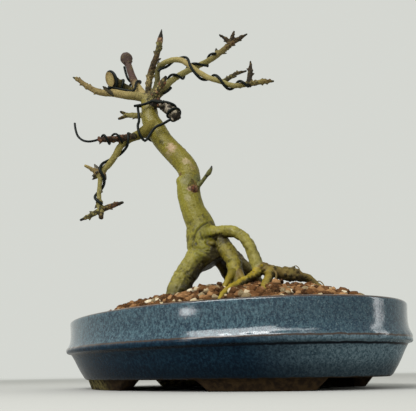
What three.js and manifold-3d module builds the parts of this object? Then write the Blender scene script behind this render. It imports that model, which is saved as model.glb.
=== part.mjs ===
// Ash bonsai: a bare winter tree that stands on its bared roots in an oval glazed pot, with its
// branches still in training wire. Millimetres, +Z up. The origin is on the surface that it stands
// on, under the middle of the whole, and +X runs along the pot.
import * as THREE from "three";
import { mergeVertices } from "three/addons/utils/BufferGeometryUtils.js";
import Module from "manifold-3d";

const wasm = await Module();
wasm.setup();

// Driving dimensions
const potLength = 331; // across the rim, the long way
const potWidth = 215;
const ovalSides = 48;
const footHeight = 8;
const floorTop = 16; // the inside of the pot's floor
const soilEdge = 51; // the soil's height along the pot's wall
const soilRise = 32; // how much higher it is heaped under the tree
const seatGap = 0.4; // between a piece and what it lies on
const treeTurn = THREE.MathUtils.degToRad(39.7); // the tree's front is turned this much to the pot's
const wireRadius = 1;
const twigWireRadius = 0.8;

const glaze = new THREE.MeshStandardMaterial({ color: 0x3d5262, roughness: 0.22, metalness: 0 });
const granules = new THREE.MeshStandardMaterial({ color: 0x7a5438, roughness: 0.95, metalness: 0 });
const bark = new THREE.MeshStandardMaterial({ color: 0x77743a, roughness: 0.7, metalness: 0 });
const darkWire = new THREE.MeshStandardMaterial({ color: 0x161a17, roughness: 0.4, metalness: 0.6 });
const screenPlastic = new THREE.MeshStandardMaterial({ color: 0x14211a, roughness: 0.6, metalness: 0 });
const stapleWire = new THREE.MeshStandardMaterial({ color: 0x9a9c9e, roughness: 0.35, metalness: 1 });

// A closed three.js geometry as a solid, and a solid as a named mesh
function solidOf(geometry) {
  const bare = geometry.clone();
  bare.deleteAttribute("normal");
  bare.deleteAttribute("uv");
  const merged = mergeVertices(bare, 1e-4);
  const vertProperties = new Float32Array(merged.attributes.position.array);
  const triVerts = new Uint32Array(merged.index.array);
  return new wasm.Manifold(new wasm.Mesh({ numProp: 3, vertProperties, triVerts }));
}

function join(solids) {
  return solids.reduce((all, one) => all.add(one));
}

// A cut can leave loose crumbs, so only the largest body of a solid is kept
function largestBody(solid) {
  return solid.decompose().reduce((best, one) => (one.volume() > best.volume() ? one : best));
}

function meshOf(solid, material, name) {
  const { vertProperties, triVerts } = solid.getMesh();
  const geometry = new THREE.BufferGeometry();
  geometry.setAttribute("position", new THREE.BufferAttribute(vertProperties, 3));
  geometry.setIndex(new THREE.BufferAttribute(triVerts, 1));
  geometry.computeVertexNormals();
  const mesh = new THREE.Mesh(geometry, material);
  mesh.name = name;
  return mesh;
}

// A closed skin over rings of equal length, each an array of points that runs anticlockwise as seen
// from the last ring's side, with a fan at each end round its hub
function skinOver(rings, firstHub, lastHub) {
  const sides = rings[0].length;
  const points = [...rings.flat(), firstHub, lastHub];
  const firstAt = points.length - 2;
  const lastAt = points.length - 1;
  const topRing = (rings.length - 1) * sides;
  const faces = [];
  for (let i = 0; i < sides; i++) {
    const next = (i + 1) % sides;
    faces.push(firstAt, next, i);
    faces.push(lastAt, topRing + i, topRing + next);
    for (let ring = 0; ring < topRing; ring += sides) {
      faces.push(ring + i, ring + next, ring + sides + i);
      faces.push(ring + next, ring + sides + next, ring + sides + i);
    }
  }
  const geometry = new THREE.BufferGeometry().setFromPoints(points);
  geometry.setIndex(faces);
  return geometry;
}

// Pot
// One fired piece. Each level of its wall is [how far inside the rim's outline, height], from the
// middle of the underside out, up the outside, over the rim and down the inside to the floor.
const ledgeProud = 1.8; // the ledge stands out past the rim
const outsideLevels = [
  [19.5, footHeight],
  [17, 8.8],
  [15, 11.2],
  [8.5, 20],
  [2.4, 29.6],
  [-1.2, 30.4],
  [-ledgeProud, 31.6],
  [-ledgeProud, 33.8],
  [0.4, 37.6],
  [1.5, 42],
  [1.3, 50],
  [0, 57.8],
];
const rimTop = [2.8, 60];
const insideLevels = [
  [5.8, 59],
  [7.6, 54],
  [9.4, 38],
  [13, 27],
  [19, 19],
  [27, floorTop],
];
const drainRadius = 12;
const drainPlaces = [-62, 62]; // along the pot
const drainSides = 24;

function ovalPoint(inset, turn, height) {
  const x = (potLength / 2 - inset) * Math.cos(turn);
  const y = (potWidth / 2 - inset) * Math.sin(turn);
  return new THREE.Vector3(x, y, height);
}

function ovalRing(inset, height, sides = ovalSides) {
  return Array.from({ length: sides }, (_, i) => ovalPoint(inset, (2 * Math.PI * i) / sides, height));
}

// Four long feet follow the oval. Their ends are cut on a slant, and they draw in to the floor.
const footMiddle = 36; // degrees to each side of the pot's front and back
const footSpan = 44;
const footEndSlant = 4.5;
const footFaces = { topOut: 20, topIn: 36, lowOut: 24, lowIn: 34 };
const footSunk = 1; // into the pot's underside

function foot(middle) {
  const steps = 6;
  const sections = [];
  for (let i = 0; i <= steps; i++) {
    const share = (2 * i) / steps - 1;
    const high = THREE.MathUtils.degToRad(middle + (share * footSpan) / 2);
    const low = THREE.MathUtils.degToRad(middle + share * (footSpan / 2 - footEndSlant));
    sections.push([
      ovalPoint(footFaces.lowIn, low, 0),
      ovalPoint(footFaces.topIn, high, footHeight + footSunk),
      ovalPoint(footFaces.topOut, high, footHeight + footSunk),
      ovalPoint(footFaces.lowOut, low, 0),
    ]);
  }
  const hubOf = (section) => section[0].clone().add(section[2]).multiplyScalar(0.5);
  return solidOf(skinOver(sections, hubOf(sections[0]), hubOf(sections[steps])));
}

function drainHole(x) {
  const height = floorTop * 2;
  const cylinder = new THREE.CylinderGeometry(drainRadius, drainRadius, height, drainSides).rotateX(Math.PI / 2);
  return solidOf(cylinder.translate(x, 0, floorTop / 2));
}

function makePot() {
  const levels = [...outsideLevels, rimTop, ...insideLevels];
  const rings = levels.map(([inset, height]) => ovalRing(inset, height));
  const underside = new THREE.Vector3(0, 0, footHeight);
  const floorMiddle = new THREE.Vector3(0, 0, floorTop);
  const body = solidOf(skinOver(rings, underside, floorMiddle));
  const middles = [270 - footMiddle, 270 + footMiddle, 90 - footMiddle, 90 + footMiddle];
  const whole = join([body, ...middles.map(foot)]);
  return drainPlaces.reduce((pot, x) => pot.subtract(drainHole(x)), whole);
}

// Drainage screens
// A square of plastic netting lies on the floor over each drain hole, and a staple of thin wire
// holds it: its back lies on the netting, and its legs go down through the hole and turn outwards.
const netOpenings = 4; // along each side
const netPitch = 9.4;
const netOpening = 7.6;
const netThickness = 1.2;
const netStep = 0.3; // the bars of one direction are this much thinner
const netEnds = 3; // the cut ends of its bars
const netSize = netPitch * netOpenings + 2 * netEnds;
const netBottom = floorTop + seatGap;
const netTop = netBottom + netThickness;
const stapleRadius = 0.75;
const stapleHalf = 7.4; // from the hole's middle to each leg
const stapleReach = 19; // from the hole's middle to the end of each turned leg

function makeScreen() {
  const bars = [];
  for (let i = 0; i <= netOpenings; i++) {
    const middle = (i - netOpenings / 2) * netPitch;
    const width = netPitch - netOpening;
    bars.push(new THREE.BoxGeometry(width, netSize, netThickness).translate(middle, 0, 0));
    bars.push(new THREE.BoxGeometry(netSize, width, netThickness - netStep).translate(0, middle, 0));
  }
  const middleHeight = netBottom + netThickness / 2;
  return join(bars.map((one) => solidOf(one.translate(0, 0, middleHeight))));
}

// A round bar along a smooth path
function bar(points, radius, sides, steps, tension = "centripetal") {
  const section = new THREE.Shape();
  for (let i = 0; i < sides; i++) {
    const turn = (2 * Math.PI * i) / sides;
    const [x, y] = [radius * Math.cos(turn), radius * Math.sin(turn)];
    if (i === 0) section.moveTo(x, y);
    else section.lineTo(x, y);
  }
  const extrudePath = new THREE.CatmullRomCurve3(points, false, tension);
  return solidOf(new THREE.ExtrudeGeometry(section, { steps, extrudePath, bevelEnabled: false }));
}

function makeStaple() {
  const top = netTop + seatGap + stapleRadius;
  const low = footHeight - seatGap - stapleRadius;
  const bend = 1.6;
  const row = netPitch / 2; // its legs pass beside the netting's middle bar
  const leg = (side) => [
    new THREE.Vector3(side * (stapleHalf - bend), row, top),
    new THREE.Vector3(side * stapleHalf, row, top - bend),
    new THREE.Vector3(side * stapleHalf, row, low + bend),
    new THREE.Vector3(side * (stapleHalf + bend), row, low),
    new THREE.Vector3(side * stapleReach, row, low),
  ];
  return bar([...leg(-1).reverse(), ...leg(1)], stapleRadius, 5, 22);
}

// Limbs
// A limb is a root, trunk, branch or twig, given by stations [right, away, up, radius] as seen from
// the tree's front. A place on it is named by a station number, such as 2.5, and a turn round it in
// degrees, where 0 faces the front.
const viewer = new THREE.Vector3(0, -1, 0);

class Limb {
  constructor(stations, { sides = 7, ringStep = 9, tip = 0.6, lumps = 0.05, cut = null } = {}) {
    Object.assign(this, { sides, ringStep, tip, lumps, cut });
    const points = stations.map(([right, away, up]) => new THREE.Vector3(right, away, up));
    this.path = new THREE.CatmullRomCurve3(points, false, "centripetal");
    this.radii = stations.map((station) => station[3]);
    this.last = stations.length - 1;
  }

  radiusAt(station) {
    const low = Math.min(Math.floor(station), this.last - 1);
    return THREE.MathUtils.lerp(this.radii[low], this.radii[low + 1], station - low);
  }

  placeAt(station) {
    const centre = this.path.getPoint(station / this.last);
    const along = this.path.getTangent(station / this.last);
    const front = viewer.clone().projectOnPlane(along).normalize();
    const side = along.clone().cross(front);
    return { centre, along, front, side };
  }

  pointAt(station, degrees, distance) {
    const { centre, front, side } = this.placeAt(station);
    const turn = THREE.MathUtils.degToRad(degrees);
    centre.addScaledVector(front, Math.cos(turn) * distance);
    return centre.addScaledVector(side, Math.sin(turn) * distance);
  }

  stops() {
    const stops = [0];
    for (let i = 0; i < this.last; i++) {
      const span = this.path.points[i].distanceTo(this.path.points[i + 1]);
      const pieces = Math.max(1, Math.round(span / this.ringStep));
      for (let k = 1; k <= pieces; k++) stops.push(i + k / pieces);
    }
    return stops;
  }

  // The limb's solid, grown by a clearance on all sides where a hole is to be made for it
  solid(clearance = 0) {
    const rings = this.stops().map((station, ring) => {
      const points = [];
      for (let i = 0; i < this.sides; i++) {
        const swell = 1 + this.lumps * Math.sin(3.1 * i + 5.3 * ring + this.last);
        const distance = this.radiusAt(station) * swell + clearance;
        points.push(this.pointAt(station, (360 * i) / this.sides, distance));
      }
      return points;
    });
    const start = this.placeAt(0);
    const end = this.placeAt(this.last);
    if (this.cut) {
      const facing = new THREE.Vector3(...this.cut).normalize();
      for (const point of rings.at(-1)) {
        const slide = end.centre.clone().sub(point).dot(facing) / end.along.dot(facing);
        point.addScaledVector(end.along, slide);
      }
    }
    const startHub = start.centre.addScaledVector(start.along, -clearance);
    const tipLength = this.cut ? 0 : this.tip * this.radii[this.last] + clearance;
    const endHub = end.centre.addScaledVector(end.along, tipLength);
    return solidOf(skinOver(rings, startHub, endHub));
  }
}

const trunk = new Limb(
  [
    [-4, -20, 105, 13.2],
    [-9.5, -20, 114, 16.9],
    [-14, -20, 127.5, 14.3],
    [-15, -20, 140.5, 13.3],
    [-21.5, -20, 155.5, 11.1],
    [-25.5, -19, 174, 10.5],
    [-26, -18, 187, 11.2],
    [-27.5, -17, 199.5, 10.3],
    [-38, -16, 214, 10.1],
    [-50, -15, 228.5, 9.8],
    [-58, -14, 242.5, 10],
    [-64, -13, 254.5, 9],
    [-65.5, -12, 266, 8.1],
    [-67, -12, 278.5, 7.6],
  ],
  { sides: 14, ringStep: 8, tip: 0.5, lumps: 0.03 },
);

// Roots. Each goes on down into the soil.
const rootLook = { sides: 8, ringStep: 9, lumps: 0.06 };
const roots = {
  left: new Limb(
    [
      [-11.5, -20, 119.5, 11.8],
      [-20.5, -26, 105.5, 10.5],
      [-29, -32, 91.5, 9.8],
      [-34.5, -36, 79.5, 9.8],
      [-37.5, -39, 71, 8.4],
    ],
    { ...rootLook, sides: 10 },
  ),
  middle: new Limb(
    [
      [2.5, -27, 121.5, 8],
      [12.5, -36, 106.5, 6.6],
      [14.5, -42, 95, 6],
      [14.5, -46, 84, 5.4],
      [11.5, -50, 63.5, 4.2],
    ],
    rootLook,
  ),
  backLeft: new Limb(
    [
      [-3.5, -10, 119.5, 7.1],
      [5.5, 0, 108.5, 5],
      [9.5, 6, 99.5, 4.4],
      [14, 13, 87.5, 3.8],
      [17.5, 22, 63.5, 2.8],
    ],
    rootLook,
  ),
  backRight: new Limb(
    [
      [9.5, -12, 121.5, 6],
      [26, 1, 111, 4.9],
      [33, 8, 101, 4.3],
      [39, 15, 89, 3.6],
      [45.5, 24, 64, 2.8],
    ],
    rootLook,
  ),
  arch: new Limb(
    [
      [-14, -22, 131.5, 7.6],
      [0, -31, 131.5, 5.6],
      [11, -38, 130.5, 5],
      [20, -42, 125.5, 4.8],
      [26.5, -45, 115.5, 4.9],
      [30.5, -46, 104.5, 5.3],
      [34.5, -47, 93.5, 6.4],
    ],
    rootLook,
  ),
  footLeft: new Limb(
    [
      [34.5, -47, 95.5, 5],
      [24.5, -52, 88.5, 3.6],
      [15, -58, 80, 3],
      [7, -63, 73, 2.7],
      [-3, -68, 58, 2],
    ],
    rootLook,
  ),
  footDown: new Limb(
    [
      [35.5, -47, 95.5, 4.8],
      [40.5, -50, 86.5, 4],
      [38.5, -53, 76.5, 3.4],
      [36, -56, 61.5, 2.4],
    ],
    rootLook,
  ),
  footRight: new Limb(
    [
      [35.5, -47, 95.5, 5],
      [47.5, -48, 92.5, 4.6],
      [60.5, -48, 90.5, 4.1],
      [73.5, -46, 86, 3.4],
      [82.5, -44, 80, 2.8],
      [89.5, -42, 63, 1.8],
    ],
    rootLook,
  ),
};

// Branches, twigs and stubs
const twigLook = { sides: 6, ringStep: 9, lumps: 0.07 };
const branches = {
  droop: new Limb([
    [-61, -17, 244.5, 7.5],
    [-72, -24, 233.5, 5.3],
    [-80, -30, 226, 4.4],
    [-88, -35, 216.5, 3.9],
    [-92.5, -39, 204.5, 3.5],
    [-97.5, -42, 194, 3.4],
    [-103.5, -44, 185.5, 4],
    [-104, -45, 175.5, 3.1],
    [-104, -46, 162, 2.7],
    [-101.5, -47, 148, 3],
  ]),
  droopStub: new Limb(
    [
      [-102.5, -44, 187.5, 3.4],
      [-110.5, -47, 188.5, 2.5],
      [-118.5, -50, 189.5, 2.1],
    ],
    { ...twigLook, cut: [-1, 0, 0] },
  ),
  droopEndRight: new Limb(
    [
      [-101.5, -47, 149, 2.7],
      [-92.5, -44, 153.5, 2.3],
      [-83.5, -41, 157.5, 1.2],
    ],
    twigLook,
  ),
  droopEndLeft: new Limb(
    [
      [-101.5, -47, 149, 2.7],
      [-108.5, -49, 144, 2.2],
      [-117.5, -51, 138.5, 1.1],
    ],
    twigLook,
  ),
  droopEndDown: new Limb(
    [
      [-101.5, -47, 150, 2.8],
      [-100.5, -48, 141, 2.1],
    ],
    twigLook,
  ),
  knotTwig: new Limb(
    [
      [-78, -30, 227.5, 3.5],
      [-85, -36, 223, 2.8],
      [-96, -42, 219.5, 2.9],
      [-107, -46, 217, 2.2],
    ],
    { ...twigLook, ringStep: 4, lumps: 0.16 },
  ),
  forkTwig: new Limb(
    [
      [-65.5, -11, 261, 3.7],
      [-75, -6, 264, 2.4],
      [-84, -3, 266, 2],
      [-91.5, 0, 267, 1.8],
    ],
    twigLook,
  ),
  forkUp: new Limb(
    [
      [-89, 0, 267.5, 1.6],
      [-95.5, 2, 271.5, 1.4],
      [-99.5, 3, 273.5, 0.9],
    ],
    { ...twigLook, sides: 5 },
  ),
  forkDown: new Limb(
    [
      [-89, 0, 267.5, 1.6],
      [-94, -2, 264, 1.4],
      [-99.5, -3, 261, 0.9],
    ],
    { ...twigLook, sides: 5 },
  ),
  left: new Limb([
    [-61.5, -12, 276.5, 7],
    [-74, -14, 280, 4.6],
    [-89.5, -14, 282.5, 3.9],
    [-103, -12, 286.5, 3.7],
    [-116, -10, 288.5, 3.7],
    [-131, -6, 298, 3.1],
    [-142.5, -3, 308.5, 2.8],
    [-149.5, -1, 313.5, 1.2],
  ]),
  sawnStub: new Limb(
    [
      [-68, -6, 282, 5.1],
      [-83.5, 1, 294.5, 4.3],
      [-97, -1, 300.5, 5],
      [-109.5, -8, 305.5, 6.8],
    ],
    { cut: [-0.75, -0.62, 0.12] },
  ),
  knobStub: new Limb(
    [
      [-72, -7, 283, 5.1],
      [-83, 3, 306, 4],
      [-89.5, 7, 324, 3.8],
      [-93, 8.5, 335.5, 4.3],
      [-95, 9.5, 343, 6.4],
      [-96, 10, 348.5, 5.2],
    ],
    { sides: 8 },
  ),
  leader: new Limb([
    [-66, -13, 277.5, 5.5],
    [-66, -20, 289, 4],
    [-62, -26, 303.5, 3.8],
    [-56, -30, 320, 3.5],
    [-54.5, -32, 332.5, 3.1],
    [-52.5, -34, 346.5, 0.9],
  ]),
  arch: new Limb([
    [-62.5, -16, 276.5, 5.1],
    [-58, -24, 289, 3.9],
    [-55, -30, 303.5, 3.5],
    [-43.5, -35, 308.5, 3.3],
    [-31.5, -39, 305.5, 3.3],
    [-21, -42, 295, 3.3],
    [-6.5, -46, 281.5, 3.1],
    [6.5, -49, 274.5, 2.9],
    [18, -51, 268.5, 2.8],
    [32, -53, 268.5, 2.6],
    [44.5, -55, 269.5, 2.4],
    [55.5, -56, 269.5, 1],
  ]),
  archUp: new Limb(
    [
      [32, -53, 267.5, 2.6],
      [34, -53, 281, 2.4],
      [35, -53, 293.5, 0.9],
    ],
    twigLook,
  ),
  archTwig: new Limb(
    [
      [7.5, -49, 273.5, 2.4],
      [15, -45, 281, 2.1],
      [22, -42, 287.5, 1.9],
      [32, -38, 293, 1],
    ],
    twigLook,
  ),
  right: new Limb([
    [-64, -11, 279, 5.5],
    [-54.5, -8, 289.5, 4.2],
    [-46.5, -5, 302, 3.9],
    [-38.5, -2, 311, 3.7],
    [-26.5, 1, 320.5, 3.7],
    [-15, 3, 328, 3.6],
    [0, 6, 339, 3.6],
    [14.5, 9, 354, 3.5],
    [23, 10, 362.5, 3.2],
  ]),
  rightTip: new Limb(
    [
      [21.5, 10, 361.5, 2.9],
      [31, 11, 368, 2.3],
      [39.5, 12, 374.5, 0.9],
    ],
    twigLook,
  ),
  rightTipMiddle: new Limb(
    [
      [20.5, 10, 360.5, 2.7],
      [22.5, 8, 368, 2.3],
      [24.5, 7, 374.5, 1],
    ],
    twigLook,
  ),
  rightTipLeft: new Limb(
    [
      [20.5, 10, 360.5, 2.7],
      [15.5, 9, 365.5, 2.2],
      [8, 8, 371, 0.9],
    ],
    twigLook,
  ),
  shortStub: new Limb(
    [
      [-62.5, -15, 274.5, 4.7],
      [-56.5, -22, 280.5, 3.6],
      [-45.5, -28, 292, 1.8],
    ],
    twigLook,
  ),
  knuckle: new Limb(
    [
      [-63.5, -14, 273.5, 7.1],
      [-51.5, -24, 266, 6.2],
      [-42, -30, 255.5, 6.6],
      [-36.5, -34, 244, 5.1],
    ],
    { sides: 9, ringStep: 4, lumps: 0.13 },
  ),
  trunkShoot: new Limb(
    [
      [-17.5, -23, 178, 2.6],
      [-9.5, -30, 185, 1.8],
      [-3.5, -35, 192, 1.3],
    ],
    twigLook,
  ),
};

// Old cuts and knobs on the trunk
const marks = {
  shoulder: new Limb(
    [
      [-23, -20, 157.5, 10.4],
      [-27, -20, 171, 9.7],
      [-30.5, -21, 183, 7.1],
      [-32.5, -21, 188, 5.1],
    ],
    { sides: 10, tip: 0.2 },
  ),
  rightKnob: new Limb([
    [-42.5, -17, 216.5, 6.1],
    [-34, -18.5, 217, 4.5],
  ]),
  scar: new Limb([
    [-22.5, -25, 178, 6.6],
    [-21, -30, 178.5, 4.7],
  ]),
};

// Buds. Each is a small pointed cone: [limb, station, degrees round it, length].
const budPlaces = [
  ["droop", 4.2, 300, 5],
  ["droop", 5.95, 250, 8],
  ["droop", 6.05, 40, 6],
  ["droop", 6.2, 110, 9],
  ["droop", 7.6, 300, 5],
  ["droop", 8.5, 100, 6],
  ["droopStub", 0.6, 90, 9],
  ["droopStub", 0.9, 270, 6],
  ["droopEndRight", 0.7, 80, 4],
  ["droopEndRight", 1.2, 260, 4],
  ["droopEndLeft", 0.8, 80, 4],
  ["droopEndLeft", 1.2, 260, 4],
  ["knotTwig", 1.2, 80, 4],
  ["knotTwig", 1.8, 265, 4],
  ["knotTwig", 2.4, 80, 4],
  ["knotTwig", 2.8, 250, 4],
  ["forkTwig", 1.6, 270, 5],
  ["left", 3.3, 80, 6],
  ["left", 3.4, 270, 6],
  ["left", 4.3, 260, 4],
  ["left", 4.9, 80, 4],
  ["left", 5.5, 260, 4],
  ["left", 6, 90, 4],
  ["sawnStub", 1.9, 180, 4],
  ["leader", 1.5, 260, 5],
  ["leader", 1.6, 80, 5],
  ["leader", 2.2, 350, 4],
  ["leader", 2.6, 80, 6],
  ["leader", 3, 265, 5],
  ["leader", 3.5, 90, 4],
  ["leader", 4, 270, 4],
  ["arch", 2.1, 265, 7],
  ["arch", 3.4, 180, 4],
  ["arch", 9.5, 20, 4],
  ["arch", 9.9, 270, 4],
  ["arch", 10.3, 90, 4],
  ["archUp", 0.8, 90, 4],
  ["archUp", 1.2, 265, 4],
  ["archTwig", 0.8, 260, 4],
  ["archTwig", 1.4, 80, 4],
  ["archTwig", 2.1, 265, 4],
  ["right", 6.4, 265, 9],
  ["right", 6.6, 90, 6],
  ["right", 7.7, 100, 5],
  ["right", 7.9, 200, 5],
  ["rightTip", 0.8, 90, 4],
  ["rightTip", 1.1, 260, 4],
  ["rightTipMiddle", 0.7, 90, 4],
  ["rightTipLeft", 0.8, 260, 4],
  ["shortStub", 1.2, 90, 4],
  ["shortStub", 1.5, 265, 4],
  ["trunkShoot", 1.2, 90, 4],
];
const budWidth = 0.42; // of its length
const budLean = 0.9; // forwards along the twig, for each part outwards
const budSunk = 0.4; // of the twig's radius
const budSides = 4;

function bud([name, station, degrees, length]) {
  const limb = branches[name];
  const { centre, along } = limb.placeAt(station);
  const reach = limb.radiusAt(station);
  const outward = limb.pointAt(station, degrees, 1).sub(centre);
  const direction = outward.clone().addScaledVector(along, budLean).normalize();
  const cone = new THREE.ConeGeometry((budWidth * length) / 2, length, budSides);
  cone.applyQuaternion(new THREE.Quaternion().setFromUnitVectors(new THREE.Vector3(0, 1, 0), direction));
  const seat = centre.addScaledVector(outward, reach * (1 - budSunk));
  seat.addScaledVector(direction, length * 0.4);
  return solidOf(cone.translate(seat.x, seat.y, seat.z));
}

// Training wire
// Each wire is wound on a limb by [station, degrees] stops, with hand-set points between limbs.
const wireGap = 0.45; // from the bark
const windStep = 30; // degrees between the points of a winding
const wireSides = 5;
const stepsPerPoint = 1.15; // how finely a wire follows its points

function wound(name, stops, radius = wireRadius) {
  const limb = name === "trunk" ? trunk : branches[name];
  const points = [];
  for (let i = 0; i < stops.length - 1; i++) {
    const [[fromStation, fromTurn], [toStation, toTurn]] = [stops[i], stops[i + 1]];
    const pieces = Math.max(1, Math.ceil(Math.abs(toTurn - fromTurn) / windStep));
    for (let k = i === 0 ? 0 : 1; k <= pieces; k++) {
      const station = THREE.MathUtils.lerp(fromStation, toStation, k / pieces);
      const turn = THREE.MathUtils.lerp(fromTurn, toTurn, k / pieces);
      const distance = limb.radiusAt(station) * (1 + limb.lumps) + wireGap + radius;
      points.push(limb.pointAt(station, turn, distance));
    }
  }
  return points;
}

function loose(points) {
  return points.map(([right, away, up]) => new THREE.Vector3(right, away, up));
}

const wires = {
  wire_droop: [
    ...wound("trunk", [[9.8, 125], [9.6, 190], [9.9, 262]]),
    ...wound("droop", [
      [1.3, 150],
      [1.9, 80],
      [2.9, -90],
      [3.8, -180],
      [5, -270],
      [6, -350],
      [6.9, -450],
      [7.5, -540],
      [8, -630],
      [8.7, -760],
    ]),
  ],
  wire_knuckle: [
    ...loose([
      [-84, -21, 269],
      [-74.5, -22.5, 266.5],
      [-65.5, -23.5, 267],
    ]),
    ...wound("knuckle", [
      [0.55, 35],
      [1.2, 10],
      [2.1, -50],
      [2.45, -270],
      [2.68, -450],
      [2.85, -625],
    ]),
    ...loose([
      [-50, -29.5, 241],
      [-57, -29, 238],
      [-63, -28.5, 229.5],
      [-67, -29, 223.5],
      [-72, -32, 229.5],
      [-75, -32.5, 239.5],
      [-76, -25, 251],
    ]),
    ...wound("trunk", [[12, 280], [12.2, 180], [12.1, 130]]),
  ],
  wire_left: [
    ...wound("left", [
      [3.9, -120],
      [3.5, 0],
      [3.1, 90],
      [2.2, 92],
      [1.6, 95],
    ]),
    ...wound("knobStub", [
      [0.85, 10],
      [1.4, 180],
      [1.9, 360],
      [2.6, 540],
    ]),
  ],
  wire_sawn: wound("sawnStub", [
    [1.5, 60],
    [1.95, 300],
    [2.4, 540],
    [2.8, 780],
  ]),
  wire_arch: wound("arch", [
    [1.7, 20],
    [2.3, 90],
    [3, 180],
    [4, 270],
    [5.6, 450],
    [6.3, 630],
    [7.6, 810],
    [8.3, 990],
    [9, 1150],
  ]),
  wire_right: wound("right", [
    [0.9, 60],
    [1.7, 100],
    [2.4, 270],
    [3.2, 450],
    [4.2, 630],
    [5.4, 810],
    [5.9, 990],
    [6.2, 1090],
  ]),
};
const twigWire = [
  ...wound("knotTwig", [[0.9, 100], [1.4, 290], [1.9, 480], [2.4, 670], [2.75, 850]], twigWireRadius),
  ...loose([
    [-114, -48, 214.5],
    [-121, -47, 216],
    [-126.5, -46, 221],
    [-129.5, -45, 228.5],
    [-131, -44, 235.5],
  ]),
];

function makeWire(points, radius) {
  return bar(points, radius, wireSides, Math.round(points.length * stepsPerPoint));
}

function makeTree(wireSolids) {
  const limbs = [trunk, ...Object.values(roots), ...Object.values(branches), ...Object.values(marks)];
  const grown = join([...limbs.map((limb) => limb.solid()), ...budPlaces.map(bud)]);
  return largestBody(wireSolids.reduce((tree, wire) => tree.subtract(wire), grown));
}

// Soil
// Hard granules heaped under the tree. The top is a net of small facets whose corners stand at
// random, with larger granules half sunk in it, and each root goes down in a plain hole.
const soilInset = 9.2; // of its top edge, from the rim's outline
const soilLevels = [
  [10.8, 36],
  [14.6, 26.6],
  [21, 19],
  [28, floorTop + seatGap],
];
const soilRings = 18;
const facetHeight = 2.1;
const facetShift = 1.6;
const granuleCount = 26;
const granuleRadii = [3, 4.8];
const granuleSpread = 0.88; // of the bed's half size
const soilLean = 0.18; // the heap is a little higher towards the pot's right end
const soilHalfLength = potLength / 2 - soilInset;
const soilHalfWidth = potWidth / 2 - soilInset;

let seed = 11;
function random() {
  seed = (seed * 16807) % 2147483647;
  return seed / 2147483647;
}

function soilHeight(x, y) {
  const out = (x / soilHalfLength) ** 2 + (y / soilHalfWidth) ** 2;
  return soilEdge + soilRise * Math.max(0, 1 - out) ** 0.75 * (1 + (soilLean * x) / soilHalfLength);
}

// The top is a disc of rings with six more corners each, and the side goes down in even rings
function makeHeap() {
  const points = [new THREE.Vector3(0, 0, soilHeight(0, 0))];
  const faces = [];
  const ringStart = (ring) => (ring === 0 ? 0 : 1 + 3 * ring * (ring - 1));
  for (let ring = 1; ring <= soilRings; ring++) {
    const edge = ring === soilRings;
    for (let i = 0; i < 6 * ring; i++) {
      const turn = (2 * Math.PI * i) / (6 * ring);
      const share = ring / soilRings;
      const shift = edge ? 0 : facetShift;
      const x = soilHalfLength * share * Math.cos(turn) + shift * (2 * random() - 1);
      const y = soilHalfWidth * share * Math.sin(turn) + shift * (2 * random() - 1);
      const lift = edge ? 0 : facetHeight * (2 * random() - 1);
      points.push(new THREE.Vector3(x, y, soilHeight(x, y) + lift));
    }
    for (let sector = 0; sector < 6; sector++) {
      for (let k = 0; k < ring; k++) {
        const outer = ringStart(ring) + sector * ring + k;
        const outerNext = ringStart(ring) + ((sector * ring + k + 1) % (6 * ring));
        const innerCount = Math.max(1, 6 * (ring - 1));
        const inner = ringStart(ring - 1) + ((sector * (ring - 1) + k) % innerCount);
        faces.push(outer, outerNext, inner);
        if (k > 0) {
          const innerBefore = ringStart(ring - 1) + sector * (ring - 1) + k - 1;
          faces.push(outer, inner, innerBefore);
        }
      }
    }
  }
  const edgeCount = 6 * soilRings;
  let above = ringStart(soilRings);
  for (const [inset, height] of soilLevels) {
    const below = points.length;
    points.push(...ovalRing(inset, height, edgeCount));
    for (let i = 0; i < edgeCount; i++) {
      const next = (i + 1) % edgeCount;
      faces.push(above + i, below + i, above + next);
      faces.push(above + next, below + i, below + next);
    }
    above = below;
  }
  const hub = points.length;
  points.push(new THREE.Vector3(0, 0, floorTop + seatGap));
  for (let i = 0; i < edgeCount; i++) faces.push(hub, above + ((i + 1) % edgeCount), above + i);
  const heap = new THREE.BufferGeometry().setFromPoints(points);
  heap.setIndex(faces);
  return solidOf(heap);
}

function granule() {
  const out = granuleSpread * Math.sqrt(random());
  const turn = 2 * Math.PI * random();
  const x = soilHalfLength * out * Math.cos(turn);
  const y = soilHalfWidth * out * Math.sin(turn);
  const radius = THREE.MathUtils.lerp(...granuleRadii, random());
  const lump = new THREE.IcosahedronGeometry(radius, 0).scale(1, 0.85, 0.75);
  lump.rotateX(2 * random()).rotateZ(2 * Math.PI * random());
  return solidOf(lump.translate(x, y, soilHeight(x, y) + 0.25 * radius));
}

// The bed keeps the pockets over the drain holes open for the netting and the staples' backs
function netPocket(x) {
  const height = netThickness + 2 * stapleRadius + 3 * seatGap;
  const box = new THREE.BoxGeometry(netSize + 1, netSize + 1, height + 1);
  return solidOf(box.translate(x, 0, floorTop + (height - 1) / 2 + seatGap));
}

function makeSoil() {
  const granuleLumps = Array.from({ length: granuleCount }, granule);
  const bed = join([makeHeap(), ...granuleLumps]);
  const holes = Object.values(roots).map((root) => root.solid(seatGap));
  const turned = join(holes).rotate([0, 0, THREE.MathUtils.radToDeg(treeTurn)]);
  return largestBody(drainPlaces.reduce((soil, x) => soil.subtract(netPocket(x)), bed.subtract(turned)));
}

// The whole, with the tree and its wires turned together
const bonsai = new THREE.Group();
bonsai.add(meshOf(makePot(), glaze, "pot"));
bonsai.add(meshOf(makeSoil(), granules, "soil"));

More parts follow.
